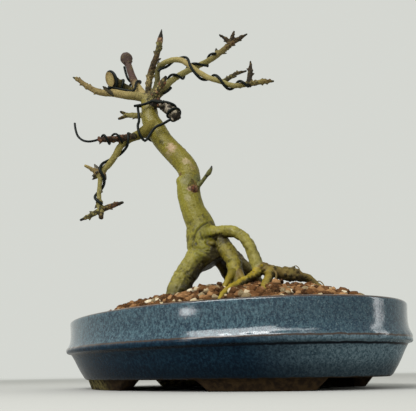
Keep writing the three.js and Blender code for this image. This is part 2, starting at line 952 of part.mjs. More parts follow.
const screen = makeScreen();
const staple = makeStaple();
drainPlaces.forEach((x, i) => {
  const drain = new THREE.Group();
  drain.position.x = x;
  drain.add(meshOf(screen, screenPlastic, `drain_screen_${i + 1}`));
  drain.add(meshOf(staple, stapleWire, `screen_staple_${i + 1}`));
  bonsai.add(drain);
});

const planting = new THREE.Group();
planting.rotation.z = treeTurn;
const wireParts = Object.entries(wires).map(([name, points]) => [name, points, wireRadius]);
wireParts.push(["wire_twig", twigWire, twigWireRadius]);
const clearances = wireParts.map(([, points, radius]) => makeWire(points, radius + 0.3));
planting.add(meshOf(makeTree(clearances), bark, "tree"));
for (const [name, points, radius] of wireParts) {
  planting.add(meshOf(makeWire(points, radius), darkWire, name));
}
bonsai.add(planting);

// The origin lies under the middle of the whole, branches included
const extent = new THREE.Box3().setFromObject(bonsai, true).getCenter(new THREE.Vector3());
bonsai.position.set(-extent.x, -extent.y, 0);

export default bonsai;
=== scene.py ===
import math
import random

import bpy
import numpy as np
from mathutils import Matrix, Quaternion, Vector, kdtree, noise


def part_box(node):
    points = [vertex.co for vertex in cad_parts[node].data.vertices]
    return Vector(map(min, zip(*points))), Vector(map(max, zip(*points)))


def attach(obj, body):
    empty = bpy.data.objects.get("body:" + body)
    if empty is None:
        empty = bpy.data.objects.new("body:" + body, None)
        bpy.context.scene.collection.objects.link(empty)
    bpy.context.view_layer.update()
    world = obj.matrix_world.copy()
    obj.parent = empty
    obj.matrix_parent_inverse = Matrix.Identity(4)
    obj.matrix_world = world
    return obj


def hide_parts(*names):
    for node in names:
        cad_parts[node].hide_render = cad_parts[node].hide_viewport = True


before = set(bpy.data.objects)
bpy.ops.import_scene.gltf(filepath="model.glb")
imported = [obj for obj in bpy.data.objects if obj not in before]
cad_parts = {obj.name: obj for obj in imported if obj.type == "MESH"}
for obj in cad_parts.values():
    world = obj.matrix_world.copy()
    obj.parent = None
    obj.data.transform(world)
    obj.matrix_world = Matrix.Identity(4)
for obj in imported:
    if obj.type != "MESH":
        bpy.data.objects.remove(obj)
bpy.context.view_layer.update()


# Pot
# Oval stoneware, pressed in a mould: a rolled rim, an upper wall that swells over a sharp ledge, and
# a lower wall that draws in to four feet. It is dipped in a speckled blue glaze that breaks brown
# where it runs thin, and the feet are left as bare clay.
MM = 0.001
POT_HALF = (165.5, 107.5)  # half its length and width across the rim, in millimetres
POT_SIDES = 256
pot_low, pot_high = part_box("pot")
POT_MIDDLE = ((pot_low.x + pot_high.x) / 2, (pot_low.y + pot_high.y) / 2, 0)

# How far inside the rim's outline, and how high: up the outside, over the rim and down the inside
POT_LEVELS = [
    (100, 8), (60, 8), (30, 8), (21.5, 8), (19.2, 8.1), (17.9, 8.7), (16.5, 9.9), (15.2, 11.7),
    (12.6, 15.4), (9.7, 20), (6.6, 25), (4.2, 28.2), (3.3, 29.3), (1.8, 29.8), (0.3, 30), (-0.3, 30.4),
    (-0.6, 31.2), (-0.9, 32.4), (-1.0, 33.4), (-0.9, 34.1), (-0.6, 34.9), (-0.1, 35.9), (0.55, 37.7),
    (1.15, 39.8), (1.5, 42.3), (1.6, 45.5), (1.3, 49.5), (0.85, 53.5), (0.35, 57), (0.3, 58.4), (0.8, 59.3),
    (1.7, 59.9), (2.9, 60), (4.2, 59.8), (5.4, 59.2), (6.2, 58), (6.9, 56), (7.6, 53), (8.6, 46),
    (9.4, 38), (11, 32), (13, 27), (15.7, 22.6), (19, 19), (22.6, 17), (27, 16), (50, 16), (90, 16),
]
DRAIN_RADIUS = 12
DRAIN_PLACES = (-62, 62)

FOOT_MIDDLES = (57, 129, 237, 309)  # degrees round the oval
FOOT_SPAN = 44
FOOT_END_SLANT = 4.5  # degrees that each end draws in towards the ground
FOOT_INSETS = {"top": (20, 36), "low": (24, 34)}  # of its outer and inner face
FOOT_TOP = 9
FOOT_EDGE = 0.9  # rounding of its edges
DRILL_LENGTH = 30
DRILL_HEIGHT = 12  # of the drill's middle


def select_none():
    bpy.ops.object.select_all(action="DESELECT")


def edit_all():
    bpy.ops.object.mode_set(mode="EDIT")
    bpy.ops.mesh.select_all(action="SELECT")


def end_edit():
    bpy.ops.object.mode_set(mode="OBJECT")


def only(piece):
    select_none()
    piece.select_set(True)
    bpy.context.view_layer.objects.active = piece


def apply_modifier(piece, kind, **settings):
    only(piece)
    modifier = piece.modifiers.new(kind.title(), kind)
    for name, value in settings.items():
        setattr(modifier, name, value)
    bpy.ops.object.modifier_apply(modifier=modifier.name)


def face_outwards(piece):
    only(piece)
    edit_all()
    bpy.ops.mesh.normals_make_consistent(inside=False)
    end_edit()


def smooth_below(piece, degrees):
    """Smooth shading over every edge that turns by less than this."""
    only(piece)
    bpy.ops.object.shade_smooth_by_angle(angle=math.radians(degrees))


def join_to(piece, others):
    only(piece)
    for other in others:
        other.select_set(True)
    bpy.ops.object.join()
    return piece


def points_of(piece):
    flat = np.empty(len(piece.data.vertices) * 3)
    piece.data.vertices.foreach_get("co", flat)
    return flat.reshape(-1, 3)


def move_points(piece, points):
    piece.data.vertices.foreach_set("co", np.ascontiguousarray(points, dtype=np.float32).ravel())
    piece.data.update()


def settle(piece, turn=0.0):
    """From millimetres round the pot's middle to metres in the part's own frame."""
    only(piece)
    piece.scale = (MM, MM, MM)
    piece.rotation_euler = (0, 0, turn)
    piece.location = POT_MIDDLE
    bpy.ops.object.transform_apply(location=True, rotation=True, scale=True)
    return piece


select_none()
bpy.ops.mesh.primitive_circle_add(vertices=POT_SIDES, radius=1, fill_type="NGON")
pot = bpy.context.object
pot.name = "glazed_pot"
edit_all()
last_half, last_height = (1, 1), 0
for number, (inset, height) in enumerate(POT_LEVELS):
    if number:
        bpy.ops.mesh.extrude_region_move()
    half = (POT_HALF[0] - inset, POT_HALF[1] - inset)
    spread = (half[0] / last_half[0], half[1] / last_half[1], 1)
    bpy.ops.transform.resize(value=spread, center_override=(0, 0, 0))
    bpy.ops.transform.translate(value=(0, 0, height - last_height))
    last_half, last_height = half, height
end_edit()
face_outwards(pot)

# Hand-finished unevenness: the ledge rises a little towards both ends of the oval, and it stands out
# further at the left end than at the right
FULL_LEDGE = math.radians(222)
LEDGE_HEIGHT = 32.6
LEDGE_REACH = 2.6  # up and down from there
LEDGE_GROWTH = 0.9
LEDGE_RISE = 1.9
RISE_REACH = 8
WAVES = (2.1, 0.02)  # how often they come round the oval, and upwards
WAVE_DEPTH = 0.5
NICKS = (17, 0.15)
NICK_DEPTH = 0.9
NICK_HEIGHT = 0.7
NICK_LIMIT = 0.12  # a nick goes in, and hardly out
LEAST_LENGTH = 40  # from the middle, so that the floor keeps its shape


def uneven(turn, height, often, upwards):
    """Smooth noise about 0 that closes on itself round the oval."""
    return noise.noise(Vector((math.cos(turn) * often, math.sin(turn) * often, height * upwards)))


spots = points_of(pot)
around = np.arctan2(spots[:, 1] / POT_HALF[1], spots[:, 0] / POT_HALF[0])
ledge_share = np.exp(-(((spots[:, 2] - LEDGE_HEIGHT) / LEDGE_REACH) ** 2))
for row, (point, turn, share) in enumerate(zip(spots, around, ledge_share)):
    wave = uneven(turn, point[2], *WAVES)
    nick = uneven(turn, point[2], *NICKS)
    ledge = NICK_DEPTH * min(nick, NICK_LIMIT) + LEDGE_GROWTH * math.cos(turn - FULL_LEDGE)
    length = math.hypot(point[0], point[1])
    spots[row, :2] *= 1 + (WAVE_DEPTH * wave + share * ledge) / max(length, LEAST_LENGTH)
    near_ledge = math.exp(-(((point[2] - LEDGE_HEIGHT) / RISE_REACH) ** 2))
    rise = LEDGE_RISE * math.cos(turn) ** 2 * near_ledge
    spots[row, 2] += rise + share * (NICK_HEIGHT * nick + WAVE_DEPTH * wave)
move_points(pot, spots)


def make_foot(middle):
    """A curved block under the oval's edge, drawn in towards the ground at its ends and faces."""
    select_none()
    bpy.ops.mesh.primitive_grid_add(x_subdivisions=24, y_subdivisions=6, size=2)
    foot = bpy.context.object
    edit_all()
    bpy.ops.mesh.extrude_region_move(TRANSFORM_OT_translate={"value": (0, 0, 1)})
    end_edit()
    shape = points_of(foot)
    share, across, top = shape[:, 0], (shape[:, 1] + 1) / 2, shape[:, 2]
    half_span = FOOT_SPAN / 2 - FOOT_END_SLANT * (1 - top)
    turn = np.radians(middle + share * half_span)
    outer = np.where(top > 0.5, FOOT_INSETS["top"][0], FOOT_INSETS["low"][0])
    inner = np.where(top > 0.5, FOOT_INSETS["top"][1], FOOT_INSETS["low"][1])
    inset = outer + across * (inner - outer)
    right = (POT_HALF[0] - inset) * np.cos(turn)
    away = (POT_HALF[1] - inset) * np.sin(turn)
    move_points(foot, np.stack([right, away, top * FOOT_TOP], 1))
    face_outwards(foot)
    sharp = math.radians(40)
    apply_modifier(foot, "BEVEL", width=FOOT_EDGE, segments=3, limit_method="ANGLE", angle_limit=sharp)
    return foot


for middle in FOOT_MIDDLES:
    foot = make_foot(middle)
    apply_modifier(pot, "BOOLEAN", operation="UNION", solver="EXACT", object=foot)
    bpy.data.objects.remove(foot)
for x in DRAIN_PLACES:
    select_none()
    bpy.ops.mesh.primitive_cylinder_add(
        vertices=48, radius=DRAIN_RADIUS, depth=DRILL_LENGTH, location=(x, 0, DRILL_HEIGHT)
    )
    drill = bpy.context.object
    apply_modifier(pot, "BOOLEAN", operation="DIFFERENCE", solver="EXACT", object=drill)
    bpy.data.objects.remove(drill)
settle(pot)
smooth_below(pot, 38)


class Shader:
    """A material's nodes, with short words for those that the finishes below are made of."""

    def __init__(self, name):
        self.material = bpy.data.materials.new(name)
        self.material.use_nodes = True
        self.tree = self.material.node_tree
        self.surface = self.tree.nodes["Principled BSDF"]
        self.place = self.add("ShaderNodeTexCoord").outputs["Object"]

    def add(self, kind, **settings):
        node = self.tree.nodes.new(kind)
        for name, value in settings.items():
            setattr(node, name, value)
        return node

    def feed(self, socket, value):
        if isinstance(value, bpy.types.NodeSocket):
            self.tree.links.new(value, socket)
        elif isinstance(value, tuple) and len(value) == 3:
            socket.default_value = (*value, 1)
        else:
            socket.default_value = value

    def grain(self, size, detail=4.0, roughness=0.6, stretch=(1, 1, 1)):
        """Noise from 0 to 1 whose features are about this many millimetres across."""
        mapping = self.add("ShaderNodeMapping")
        self.feed(mapping.inputs["Vector"], self.place)
        mapping.inputs["Scale"].default_value = stretch
        node = self.add("ShaderNodeTexNoise")
        self.feed(node.inputs["Vector"], mapping.outputs["Vector"])
        node.inputs["Scale"].default_value = 1 / (size * MM)
        node.inputs["Detail"].default_value = detail
        node.inputs["Roughness"].default_value = roughness
        return node.outputs["Fac"]

    def cells(self, size):
        """How far a place is from the middle of its cell, for cells about this many millimetres wide."""
        node = self.add("ShaderNodeTexVoronoi")
        self.feed(node.inputs["Vector"], self.place)
        node.inputs["Scale"].default_value = 1 / (size * MM)
        return node.outputs["Distance"]

    def step(self, value, start, end, low=0.0, high=1.0):
        """A soft step from low to high as the value goes from start to end."""
        node = self.add("ShaderNodeMapRange", interpolation_type="SMOOTHSTEP")
        amounts = {"Value": value, "From Min": start, "From Max": end, "To Min": low, "To Max": high}
        for name, amount in amounts.items():
            self.feed(node.inputs[name], amount)
        return node.outputs["Result"]

    def maths(self, kind, first, second=0.0):
        node = self.add("ShaderNodeMath", operation=kind)
        self.feed(node.inputs[0], first)
        self.feed(node.inputs[1], second)
        return node.outputs["Value"]

    def blend(self, share, first, second, kind="MIX"):
        node = self.add("ShaderNodeMix", data_type="RGBA", blend_type=kind)
        self.feed(node.inputs["Factor"], share)
        self.feed(node.inputs["A"], first)
        self.feed(node.inputs["B"], second)
        return node.outputs["Result"]

    def along(self, axis):
        """The place along this axis, in metres."""
        node = self.add("ShaderNodeSeparateXYZ")
        self.feed(node.inputs["Vector"], self.place)
        return node.outputs[axis]

    def relief(self, value, depth, strength):
        """Bump this many millimetres deep."""
        node = self.add("ShaderNodeBump")
        self.feed(node.inputs["Height"], value)
        node.inputs["Distance"].default_value = depth * MM
        node.inputs["Strength"].default_value = strength
        self.feed(self.surface.inputs["Normal"], node.outputs["Normal"])
        return node.outputs["Normal"]

    def finish(self, colour, roughness, **constants):
        self.feed(self.surface.inputs["Base Color"], colour)
        self.feed(self.surface.inputs["Roughness"], roughness)
        for name, value in constants.items():
            self.surface.inputs[name.replace("_", " ")].default_value = value
        return self.material


def coat_with(piece, material):
    piece.data.materials.clear()
    piece.data.materials.append(material)


# Tones of the glaze and of the bare clay, with a painted reflection and painted shadow among them
NAVY = (0.0020, 0.008, 0.018)
NAVY_LIGHT = (0.008, 0.027, 0.046)
# Paler lower wall at the right end: a painted reflection of the bright side of the room
NAVY_PAINTED_REFLECTION = (0.050, 0.086, 0.106)
NAVY_LIGHT_PAINTED_REFLECTION = (0.125, 0.180, 0.208)
SLATE = (0.008, 0.025, 0.043)
SLATE_LIGHT = (0.050, 0.099, 0.123)
SLATE_SHADE = (0.028, 0.060, 0.078)
PALE_SPECK = (0.150, 0.210, 0.225)
GLAZE_BREAK = (0.040, 0.022, 0.013)
# Near black: painted shadow under the ledge and low on the lower wall
PAINTED_SHADOW_NAVY = (0.002, 0.004, 0.007)
FOOT_CLAY = (0.036, 0.022, 0.010)
FOOT_CLAY_DARK = (0.013, 0.008, 0.005)
FOOT_CLAY_LEFT = (0.165, 0.140, 0.052)

# Heights and places on the pot in metres, where the glaze changes from the first to the second
# The right end, where the lower wall takes a paler painted reflection and the upper wall grows darker
RIGHT_END = (0.084, 0.150)
LEFT_FOOT = (-0.075, -0.045)
UPPER_WALL = (0.0335, 0.037)
# Painted shade: the lower wall darkens towards its bottom, above the feet
UNDER_POT = (0.012, 0.024)
GLAZE_END = (0.0083, 0.0091)
COAT_START = (0.0320, 0.0345)
WANDER = 0.0018  # how far a line in the glaze wanders up and down

# Lines in the glaze: height, and half their width at the core and where they have faded. The line under the
# ledge is a painted shadow.
BREAK_LINE = (0.0347, 0.0003, 0.0009)
RIM_LINE = (0.0595, 0.0004, 0.0011)
LEDGE_SHADOW_LINE = (0.0296, 0.0004, 0.0012)


def band(look, value, middle, core, fade):
    """1 within the core's half width of a height, down to 0 at the fade's."""
    away = look.maths("ABSOLUTE", look.maths("SUBTRACT", value, middle))
    return look.step(away, core, fade, 1, 0)


glaze = Shader("speckled_blue_glaze")
level = glaze.along("Z")
right_end = glaze.step(glaze.along("X"), *RIGHT_END)
cloud = glaze.grain(16, detail=3, stretch=(1, 1, 0.4))
mottle = glaze.grain(1.9, detail=5, roughness=0.7, stretch=(1, 1, 0.7))
speck = glaze.grain(0.75, detail=2)
dark_speck = glaze.grain(1.0, detail=2)
upper = glaze.step(level, *UPPER_WALL)
# Towards the right end the lower wall takes a painted reflection, paler, and the upper wall grows darker
navy = glaze.blend(right_end, NAVY, NAVY_PAINTED_REFLECTION)
navy_light = glaze.blend(right_end, NAVY_LIGHT, NAVY_LIGHT_PAINTED_REFLECTION)
slate_light = glaze.blend(right_end, SLATE_LIGHT, SLATE_SHADE)
body = glaze.blend(upper, navy, SLATE)
light = glaze.blend(upper, navy_light, slate_light)
body = glaze.blend(glaze.step(mottle, 0.41, 0.60), body, light)
body = glaze.blend(glaze.step(cloud, 0.50, 0.72, 0, 0.35), body, light)
# Painted shade, darker towards the bottom of the lower wall
body = glaze.blend(glaze.step(level, *UNDER_POT, 0.6, 0), body, PAINTED_SHADOW_NAVY)
speck_tone = glaze.blend(upper, NAVY_LIGHT, PALE_SPECK)
body = glaze.blend(glaze.step(speck, 0.56, 0.70, 0, 0.6), body, speck_tone)
body = glaze.blend(glaze.step(dark_speck, 0.53, 0.66, 0, 0.75), body, NAVY)
wander = glaze.maths("MULTIPLY", glaze.maths("SUBTRACT", glaze.grain(7, detail=4), 0.5), WANDER)
wavy = glaze.maths("ADD", level, wander)
thin = glaze.maths("MULTIPLY", band(glaze, wavy, *BREAK_LINE), 0.9)
rim_thin = glaze.maths("MULTIPLY", band(glaze, wavy, *RIM_LINE), 0.85)
glazed = glaze.blend(glaze.maths("MAXIMUM", thin, rim_thin), body, GLAZE_BREAK)
# Painted shadow in a line under the ledge
glazed = glaze.blend(band(glaze, wavy, *LEDGE_SHADOW_LINE), glazed, PAINTED_SHADOW_NAVY)
bare = glaze.step(wavy, *GLAZE_END, 1, 0)
clay_tone = glaze.blend(glaze.step(glaze.along("X"), *LEFT_FOOT), FOOT_CLAY_LEFT, FOOT_CLAY)
clay = glaze.blend(glaze.step(glaze.grain(4, detail=6), 0.35, 0.65), clay_tone, FOOT_CLAY_DARK)
colour = glaze.blend(bare, glazed, clay)
shine = glaze.step(mottle, 0.3, 0.7, 0.16, 0.30)
dull = glaze.maths("MAXIMUM", shine, glaze.maths("MULTIPLY", bare, 0.85))
pits = glaze.maths("ADD", glaze.maths("MULTIPLY", mottle, 0.5), glaze.maths("MULTIPLY", speck, 0.3))
dents = glaze.maths("MULTIPLY", glaze.grain(11, detail=2), 2.2)
skin = glaze.relief(glaze.maths("ADD", pits, dents), 0.26, 0.32)
glaze.feed(glaze.surface.inputs["Coat Normal"], skin)
glaze.feed(glaze.surface.inputs["Coat Weight"], glaze.step(level, *COAT_START, 0.0, 0.9))
coat_with(pot, glaze.finish(colour, dull, Coat_Roughness=0.04, Coat_IOR=1.42, Specular_IOR_Level=0.05))
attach(pot, "root")
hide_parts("pot")


# Drainage screens
# A square of moulded plastic netting over each drain hole, held by a staple of thin drawn wire.
# Their shapes come with the frame, and only their finishes are made here.
NET_DARK = (0.012, 0.032, 0.018)
NET_GREEN = (0.03, 0.06, 0.036)
STAPLE_GREY = (0.5, 0.5, 0.51)
STAPLE_BRIGHT = (0.68, 0.68, 0.69)
netting = Shader("green_netting")
net_shade = netting.blend(netting.grain(3, detail=4), NET_DARK, NET_GREEN)
netting.relief(netting.grain(0.8, detail=3), 0.1, 0.6)
net_green = netting.finish(net_shade, netting.step(netting.grain(5), 0.3, 0.7, 0.5, 0.75))
drawn = Shader("drawn_staple_wire")
scratch = drawn.grain(1.2, detail=5, stretch=(0.15, 1, 1))
wire_shade = drawn.blend(scratch, STAPLE_GREY, STAPLE_BRIGHT)
drawn.relief(scratch, 0.04, 0.5)
staple_metal = drawn.finish(wire_shade, drawn.step(scratch, 0.3, 0.7, 0.28, 0.45), Metallic=1.0)
for end in (1, 2):
    coat_with(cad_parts[f"drain_screen_{end}"], net_green)
    coat_with(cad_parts[f"screen_staple_{end}"], staple_metal)


# Tree
# A young ash, bare in winter: olive bark on the trunk and roots, darker knotty wood on the branches,
# black pointed buds, and the marks of old cuts. It grew as one piece, so its limbs are drawn as round
# tapering lengths, fused, and then given the folds and scales of its bark.
TREE_TURN = math.radians(39.7)  # the tree's front against the pot's

# Each limb goes through these stations of (right, away, up, radius), in millimetres as seen from the
# tree's front
TRUNK = [
    (-4, -20, 105, 13.2), (-9.5, -20, 114, 16.9), (-14, -20, 127.5, 14.3), (-15, -20, 140.5, 13.3),
    (-21.5, -20, 155.5, 11.1), (-25.5, -19, 174, 10.5), (-24.6, -18, 188.5, 10.2), (-27.3, -17, 199.5, 10.2),
    (-38, -16, 214, 10.1), (-50, -15, 228.5, 9.8), (-58, -14, 242.5, 10), (-64, -13, 254.5, 9),
    (-65.5, -12, 266, 8.1), (-67, -12, 278.5, 7.6),
]
ROOTS = {
    "left": [(-11.5, -20, 119.5, 11.8), (-20.5, -26, 105.5, 10.5), (-29, -32, 91.5, 9.8),
             (-34.5, -36, 79.5, 9.8), (-37.5, -39, 71, 8.4)],
    "middle": [(2.5, -28, 122.5, 8.4), (12, -36, 106.5, 7), (14.5, -42, 95, 6.5), (15, -46, 84, 6),
               (11.5, -50, 63.5, 4.2)],
    "back_left": [(-3.5, -10, 118.5, 7.1), (4.5, -2, 108.5, 5.9), (9, 4, 99.5, 5.2),
                  (13.5, 11, 88.5, 4.4), (17.5, 22, 63.5, 2.8)],
    "back_right": [(9.5, -12, 118.5, 6), (21.5, -3, 110, 5.6), (27, 3, 101.5, 5.6), (30.5, 8, 92.5, 5.2),
                   (34, 14, 72, 4)],
    "arch_root": [(-14, -22, 131.5, 7.6), (0, -31, 131, 6.2), (11, -38, 130, 5.3), (20, -42, 125.5, 4.8),
                  (26.5, -45, 115.5, 4.9), (30.5, -46, 104.5, 5.3), (34.5, -47, 93.5, 6.4)],
    "foot_left": [(34.5, -47, 95, 5), (30, -51, 89, 3.9), (25.5, -54, 86.4, 3.3), (21.1, -58, 83.3, 3.1),
                  (16.6, -63, 80.1, 3), (12.2, -69, 76.8, 3.4), (7.9, -76, 73.4, 3),
                  (4.6, -83, 70.2, 2.9), (1.3, -91, 66, 2.5), (-1, -95, 61, 2)],
    "foot_down": [(36, -48, 95, 5), (42.4, -51, 91, 4.3), (40.7, -56, 85.8, 3.7), (37.2, -66, 79.4, 3.4),
                  (34.5, -76, 74.2, 3.2), (34, -86, 68.5, 2.7), (34, -92, 62, 2)],
    "foot_right": [(36, -48, 95, 5.4), (44.5, -49, 91.8, 5), (50.9, -50, 90.2, 5.2), (59, -51, 88.8, 6),
                   (64.6, -51, 87.4, 5), (68.9, -50, 86.4, 4), (73.9, -49, 85.2, 3.8),
                   (78.4, -50, 81.7, 2.8), (82.9, -54, 76.6, 1.9), (85, -57, 70, 1.5)],
    "foot_right_knob": [(60, -51, 91.5, 2.6), (62.8, -51, 94, 1.8)],
    "middle_toe_left": [(11.5, -47, 92, 4.2), (9.5, -51, 88.5, 3), (6.6, -56, 83, 2.4), (4, -60, 77, 1.8)],
    "middle_toe_right": [(17, -47, 91, 4), (19, -51, 87, 2.8), (20.5, -56, 81.5, 2.2),
                         (21.5, -60, 75, 1.7)],
    "back_middle": [(17, -6, 113, 5), (26.7, -10, 103.5, 5), (33.1, -8, 96, 5), (38, -4, 88, 4.6),
                    (41, 0, 72, 4)],
}
BRANCHES = {
    "droop": [(-61, -17, 244.5, 7.5), (-72, -24, 233.5, 4.9), (-80, -30, 226, 3.7),
              (-88, -35, 216.5, 3.2), (-92.5, -39, 204.5, 3), (-97.5, -42, 194, 2.8),
              (-103.5, -44, 185.5, 3), (-104, -45, 175.5, 2.1), (-104, -46, 162, 1.9),
              (-101.5, -47, 148, 2.5)],
    "droop_stub": [(-103, -44, 184.5, 2.6), (-107.5, -45, 185.2, 2.2), (-113.3, -47, 188.6, 1.7),
                   (-117.4, -49, 190.3, 1.4)],
    "droop_end_right": [(-101.5, -47, 149, 2.7), (-92.5, -44, 153.5, 2.3), (-83.5, -41, 157.5, 1.2)],
    "droop_end_left": [(-101.5, -47, 149, 2.7), (-108.5, -49, 144, 2.2), (-117.5, -51, 138.5, 1.1)],
    "droop_end_down": [(-101.5, -47, 150, 2.8), (-100.5, -48, 141, 2.1)],
    "knot_twig": [(-78, -30, 227.5, 3.5), (-85, -36, 223, 2.8), (-96, -42, 219.5, 2.9),
                  (-107, -46, 217, 2.2)],
    "fork_twig": [(-65.5, -11, 261, 3.7), (-75, -6, 263.5, 2.9), (-84, -3, 265.5, 2.8),
                  (-91.5, 0, 267, 2.4)],
    "fork_up": [(-89, 0, 267.5, 2), (-94.5, 2, 271, 1.7), (-98, 3, 273.5, 1.1)],
    "fork_down": [(-89, 0, 267.5, 2.1), (-94, -2, 264, 1.8), (-98.5, -3, 261.5, 1.1)],
    "node_scale_up": [(-109, -14, 288.5, 2.1), (-111.5, -14.5, 291.5, 1.8), (-114.5, -15, 294.8, 0.7)],
    "node_scale_down": [(-108, -14, 288, 2.1), (-105, -15.5, 284.5, 1.9), (-102, -16, 281, 0.7)],
    "left_branch": [(-61.5, -12, 276.5, 7), (-74, -14, 280, 4.6), (-89.5, -14, 282.5, 4.1),
                    (-103, -12, 286.5, 4), (-116, -10, 288.5, 3.3), (-131, -6, 298, 2.8),
                    (-142.5, -3, 308.5, 2.2), (-149.5, -1, 313.5, 0.7)],
    "sawn_stub": [(-68, -6, 282, 5.1), (-83.5, 1, 294.5, 4.3), (-96, -1, 300, 5),
                  (-108.5, -8, 305.5, 6.6)],
    "knob_stub": [(-72, -7, 283, 5.6), (-83, 3, 306, 4.2), (-89.5, 7, 324, 3.7), (-92.5, 8.5, 334, 3.5),
                  (-95, 9.5, 342, 6.9), (-95.6, 10, 345.5, 6.3)],
    "leader": [(-66, -13, 277.5, 4.6), (-66, -20, 289, 3.1), (-62.6, -26, 303.5, 3.3),
               (-57, -29.5, 320, 2.7), (-54.8, -31, 330, 2.9), (-53.9, -32, 335.5, 3.1),
               (-53.1, -33, 339.5, 2.1), (-52.3, -34, 347, 0.6)],
    "arch_branch": [(-62.5, -16, 276.5, 4.4), (-57.2, -24, 289, 2.8), (-55, -30, 303.5, 2.6),
                    (-43.5, -35, 308.5, 2.7), (-31.5, -39, 305.5, 2.7), (-21, -42, 295, 2.7),
                    (-6.5, -46, 281.5, 2.6), (6.5, -49, 274.5, 2.4), (18, -51, 268.5, 2.4),
                    (32, -53, 268.5, 2.3), (44.5, -55, 269.5, 2.2), (55.5, -56, 269.5, 1)],
    "arch_up": [(32, -53, 267.5, 2.6), (34, -53, 281, 2.4), (35, -53, 293.5, 0.9)],
    "arch_twig": [(7.5, -49, 273.5, 2.4), (15, -45, 281, 2.1), (22, -42, 287.5, 1.9), (32, -38, 293, 1)],
    "right_branch": [(-64, -11, 279, 5.5), (-54.5, -8, 289.5, 3.9), (-46.5, -5, 302, 3.4),
                     (-38.5, -2, 311, 3.2), (-26.5, 1, 320.5, 3.2), (-15, 3, 328, 3.1), (0, 6, 339, 3.1),
                     (14.5, 9, 354, 3.1), (23, 10, 362.5, 2.9)],
    "right_tip": [(21.5, 10, 361.5, 2.9), (31, 11, 368, 2.3), (39.5, 12, 374.5, 0.9)],
    "right_tip_middle": [(20.5, 10, 360.5, 2.7), (22.5, 8, 368, 2.3), (24.5, 7, 374.5, 1)],
    "right_tip_left": [(20.5, 10, 360.5, 2.7), (15.5, 9, 365.5, 2.2), (8, 8, 371, 0.9)],
    "short_stub": [(-62.5, -15, 272.5, 4.7), (-57, -24, 279.5, 3.4), (-51, -28, 288, 3.1),
                   (-47.5, -30, 293.5, 1.5)],
    "knuckle": [(-63.5, -14, 275.5, 5), (-52.5, -24, 265, 4), (-44.2, -29, 257, 4.2),
                (-36.2, -33, 246.3, 4.2)],
    "trunk_shoot": [(-16.5, -24, 178.3, 2.2), (-12.6, -27, 182.1, 1.8), (-9, -30, 185.9, 1.8),
                    (-6.4, -32, 188.5, 2.4), (-4.5, -34, 191.1, 1.6), (-3.8, -35, 193.7, 0.8)],
}
MARKS = {
    "shoulder": [(-23, -20, 157.5, 10.4), (-27, -20, 171, 9.7), (-30.3, -21, 181.5, 7.3),
                 (-33.2, -21, 186.5, 5.2)],
    "right_knob": [(-42.5, -17, 216.5, 6.1), (-30.6, -19, 215.4, 4.3)],
    "scar": [(-22.5, -24, 175, 6.6), (-20.6, -28, 174, 4)],
}
SWELLINGS = {
    "callus": [(-5.5, -32, 119.8, 4.4), (-4.6, -34.6, 119.9, 3.4)],
    "collar": [(-13, -27, 127, 8.4), (-10, -29.5, 130, 7.2)],
    "left_lip": [(-17, -28, 109.5, 8.4), (-9, -30, 111.5, 7.2)],
}
LIMBS = {"trunk": TRUNK, **ROOTS, **BRANCHES, **MARKS, **SWELLINGS}
FRONT = np.array((0.0, -1.0, 0.0))
STATION_STEP = 1e-4  # to each side of a station, for the limb's direction there
LEAST_SPAN = 1e-4
SAME_POINT = 0.01  # corners nearer than this become one


def along_limb(stations, station):
    """The middle of a limb at a station number such as 2.5, on a smooth curve through its stations."""
    points = np.array([entry[:3] for entry in stations], float)
    start = min(int(station), len(points) - 2)
    share = station - start
    before = points[start - 1] if start else 2 * points[0] - points[1]
    after = points[start + 2] if start + 2 < len(points) else 2 * points[-1] - points[-2]
    here, there = points[start], points[start + 1]
    pairs = ((before, here), (here, there), (there, after))
    first, own, last = [max(np.linalg.norm(b - a) ** 0.5, LEAST_SPAN) for a, b in pairs]
    leave = (here - before) / first - (there - before) / (first + own) + (there - here) / own
    arrive = (there - here) / own - (after - here) / (own + last) + (after - there) / last
    leave, arrive = leave * own, arrive * own
    square, cube = share ** 2, share ** 3
    return (here + leave * share + (-3 * here + 3 * there - 2 * leave - arrive) * square
            + (2 * here - 2 * there + leave + arrive) * cube)


def radius_at(stations, station):
    return float(np.interp(station, range(len(stations)), [entry[3] for entry in stations]))


def direction_at(stations, station):
    low = max(station - STATION_STEP, 0)
    high = min(station + STATION_STEP, len(stations) - 1)
    step = along_limb(stations, high) - along_limb(stations, low)
    return step / np.linalg.norm(step)


def beside_limb(stations, station, degrees, distance):
    """A point at this distance from a limb's middle. 0 degrees is its front."""
    along = direction_at(stations, station)
    front = FRONT - along * FRONT.dot(along)
    front /= np.linalg.norm(front)
    turn = math.radians(degrees)
    out = math.cos(turn) * front + math.sin(turn) * np.cross(along, front)
    return along_limb(stations, station) + distance * out


def round_bar(name, points, radii, sides):
    """A closed round bar of changing radius along these points."""
    select_none()
    bpy.ops.curve.primitive_nurbs_path_add()
    piece = bpy.context.object
    piece.name = name
    piece.data.splines.clear()
    spline = piece.data.splines.new("POLY")
    spline.points.add(len(points) - 1)
    for knot, point, radius in zip(spline.points, points, radii):
        knot.co = (*point, 1)
        knot.radius = radius
    piece.data.bevel_depth = 1
    piece.data.bevel_resolution = (sides - 4) // 2
    piece.data.use_fill_caps = True
    only(piece)
    bpy.ops.object.convert(target="MESH")
    piece = bpy.context.object
    edit_all()
    bpy.ops.mesh.remove_doubles(threshold=SAME_POINT)
    bpy.ops.mesh.normals_make_consistent(inside=False)
    end_edit()
    return piece


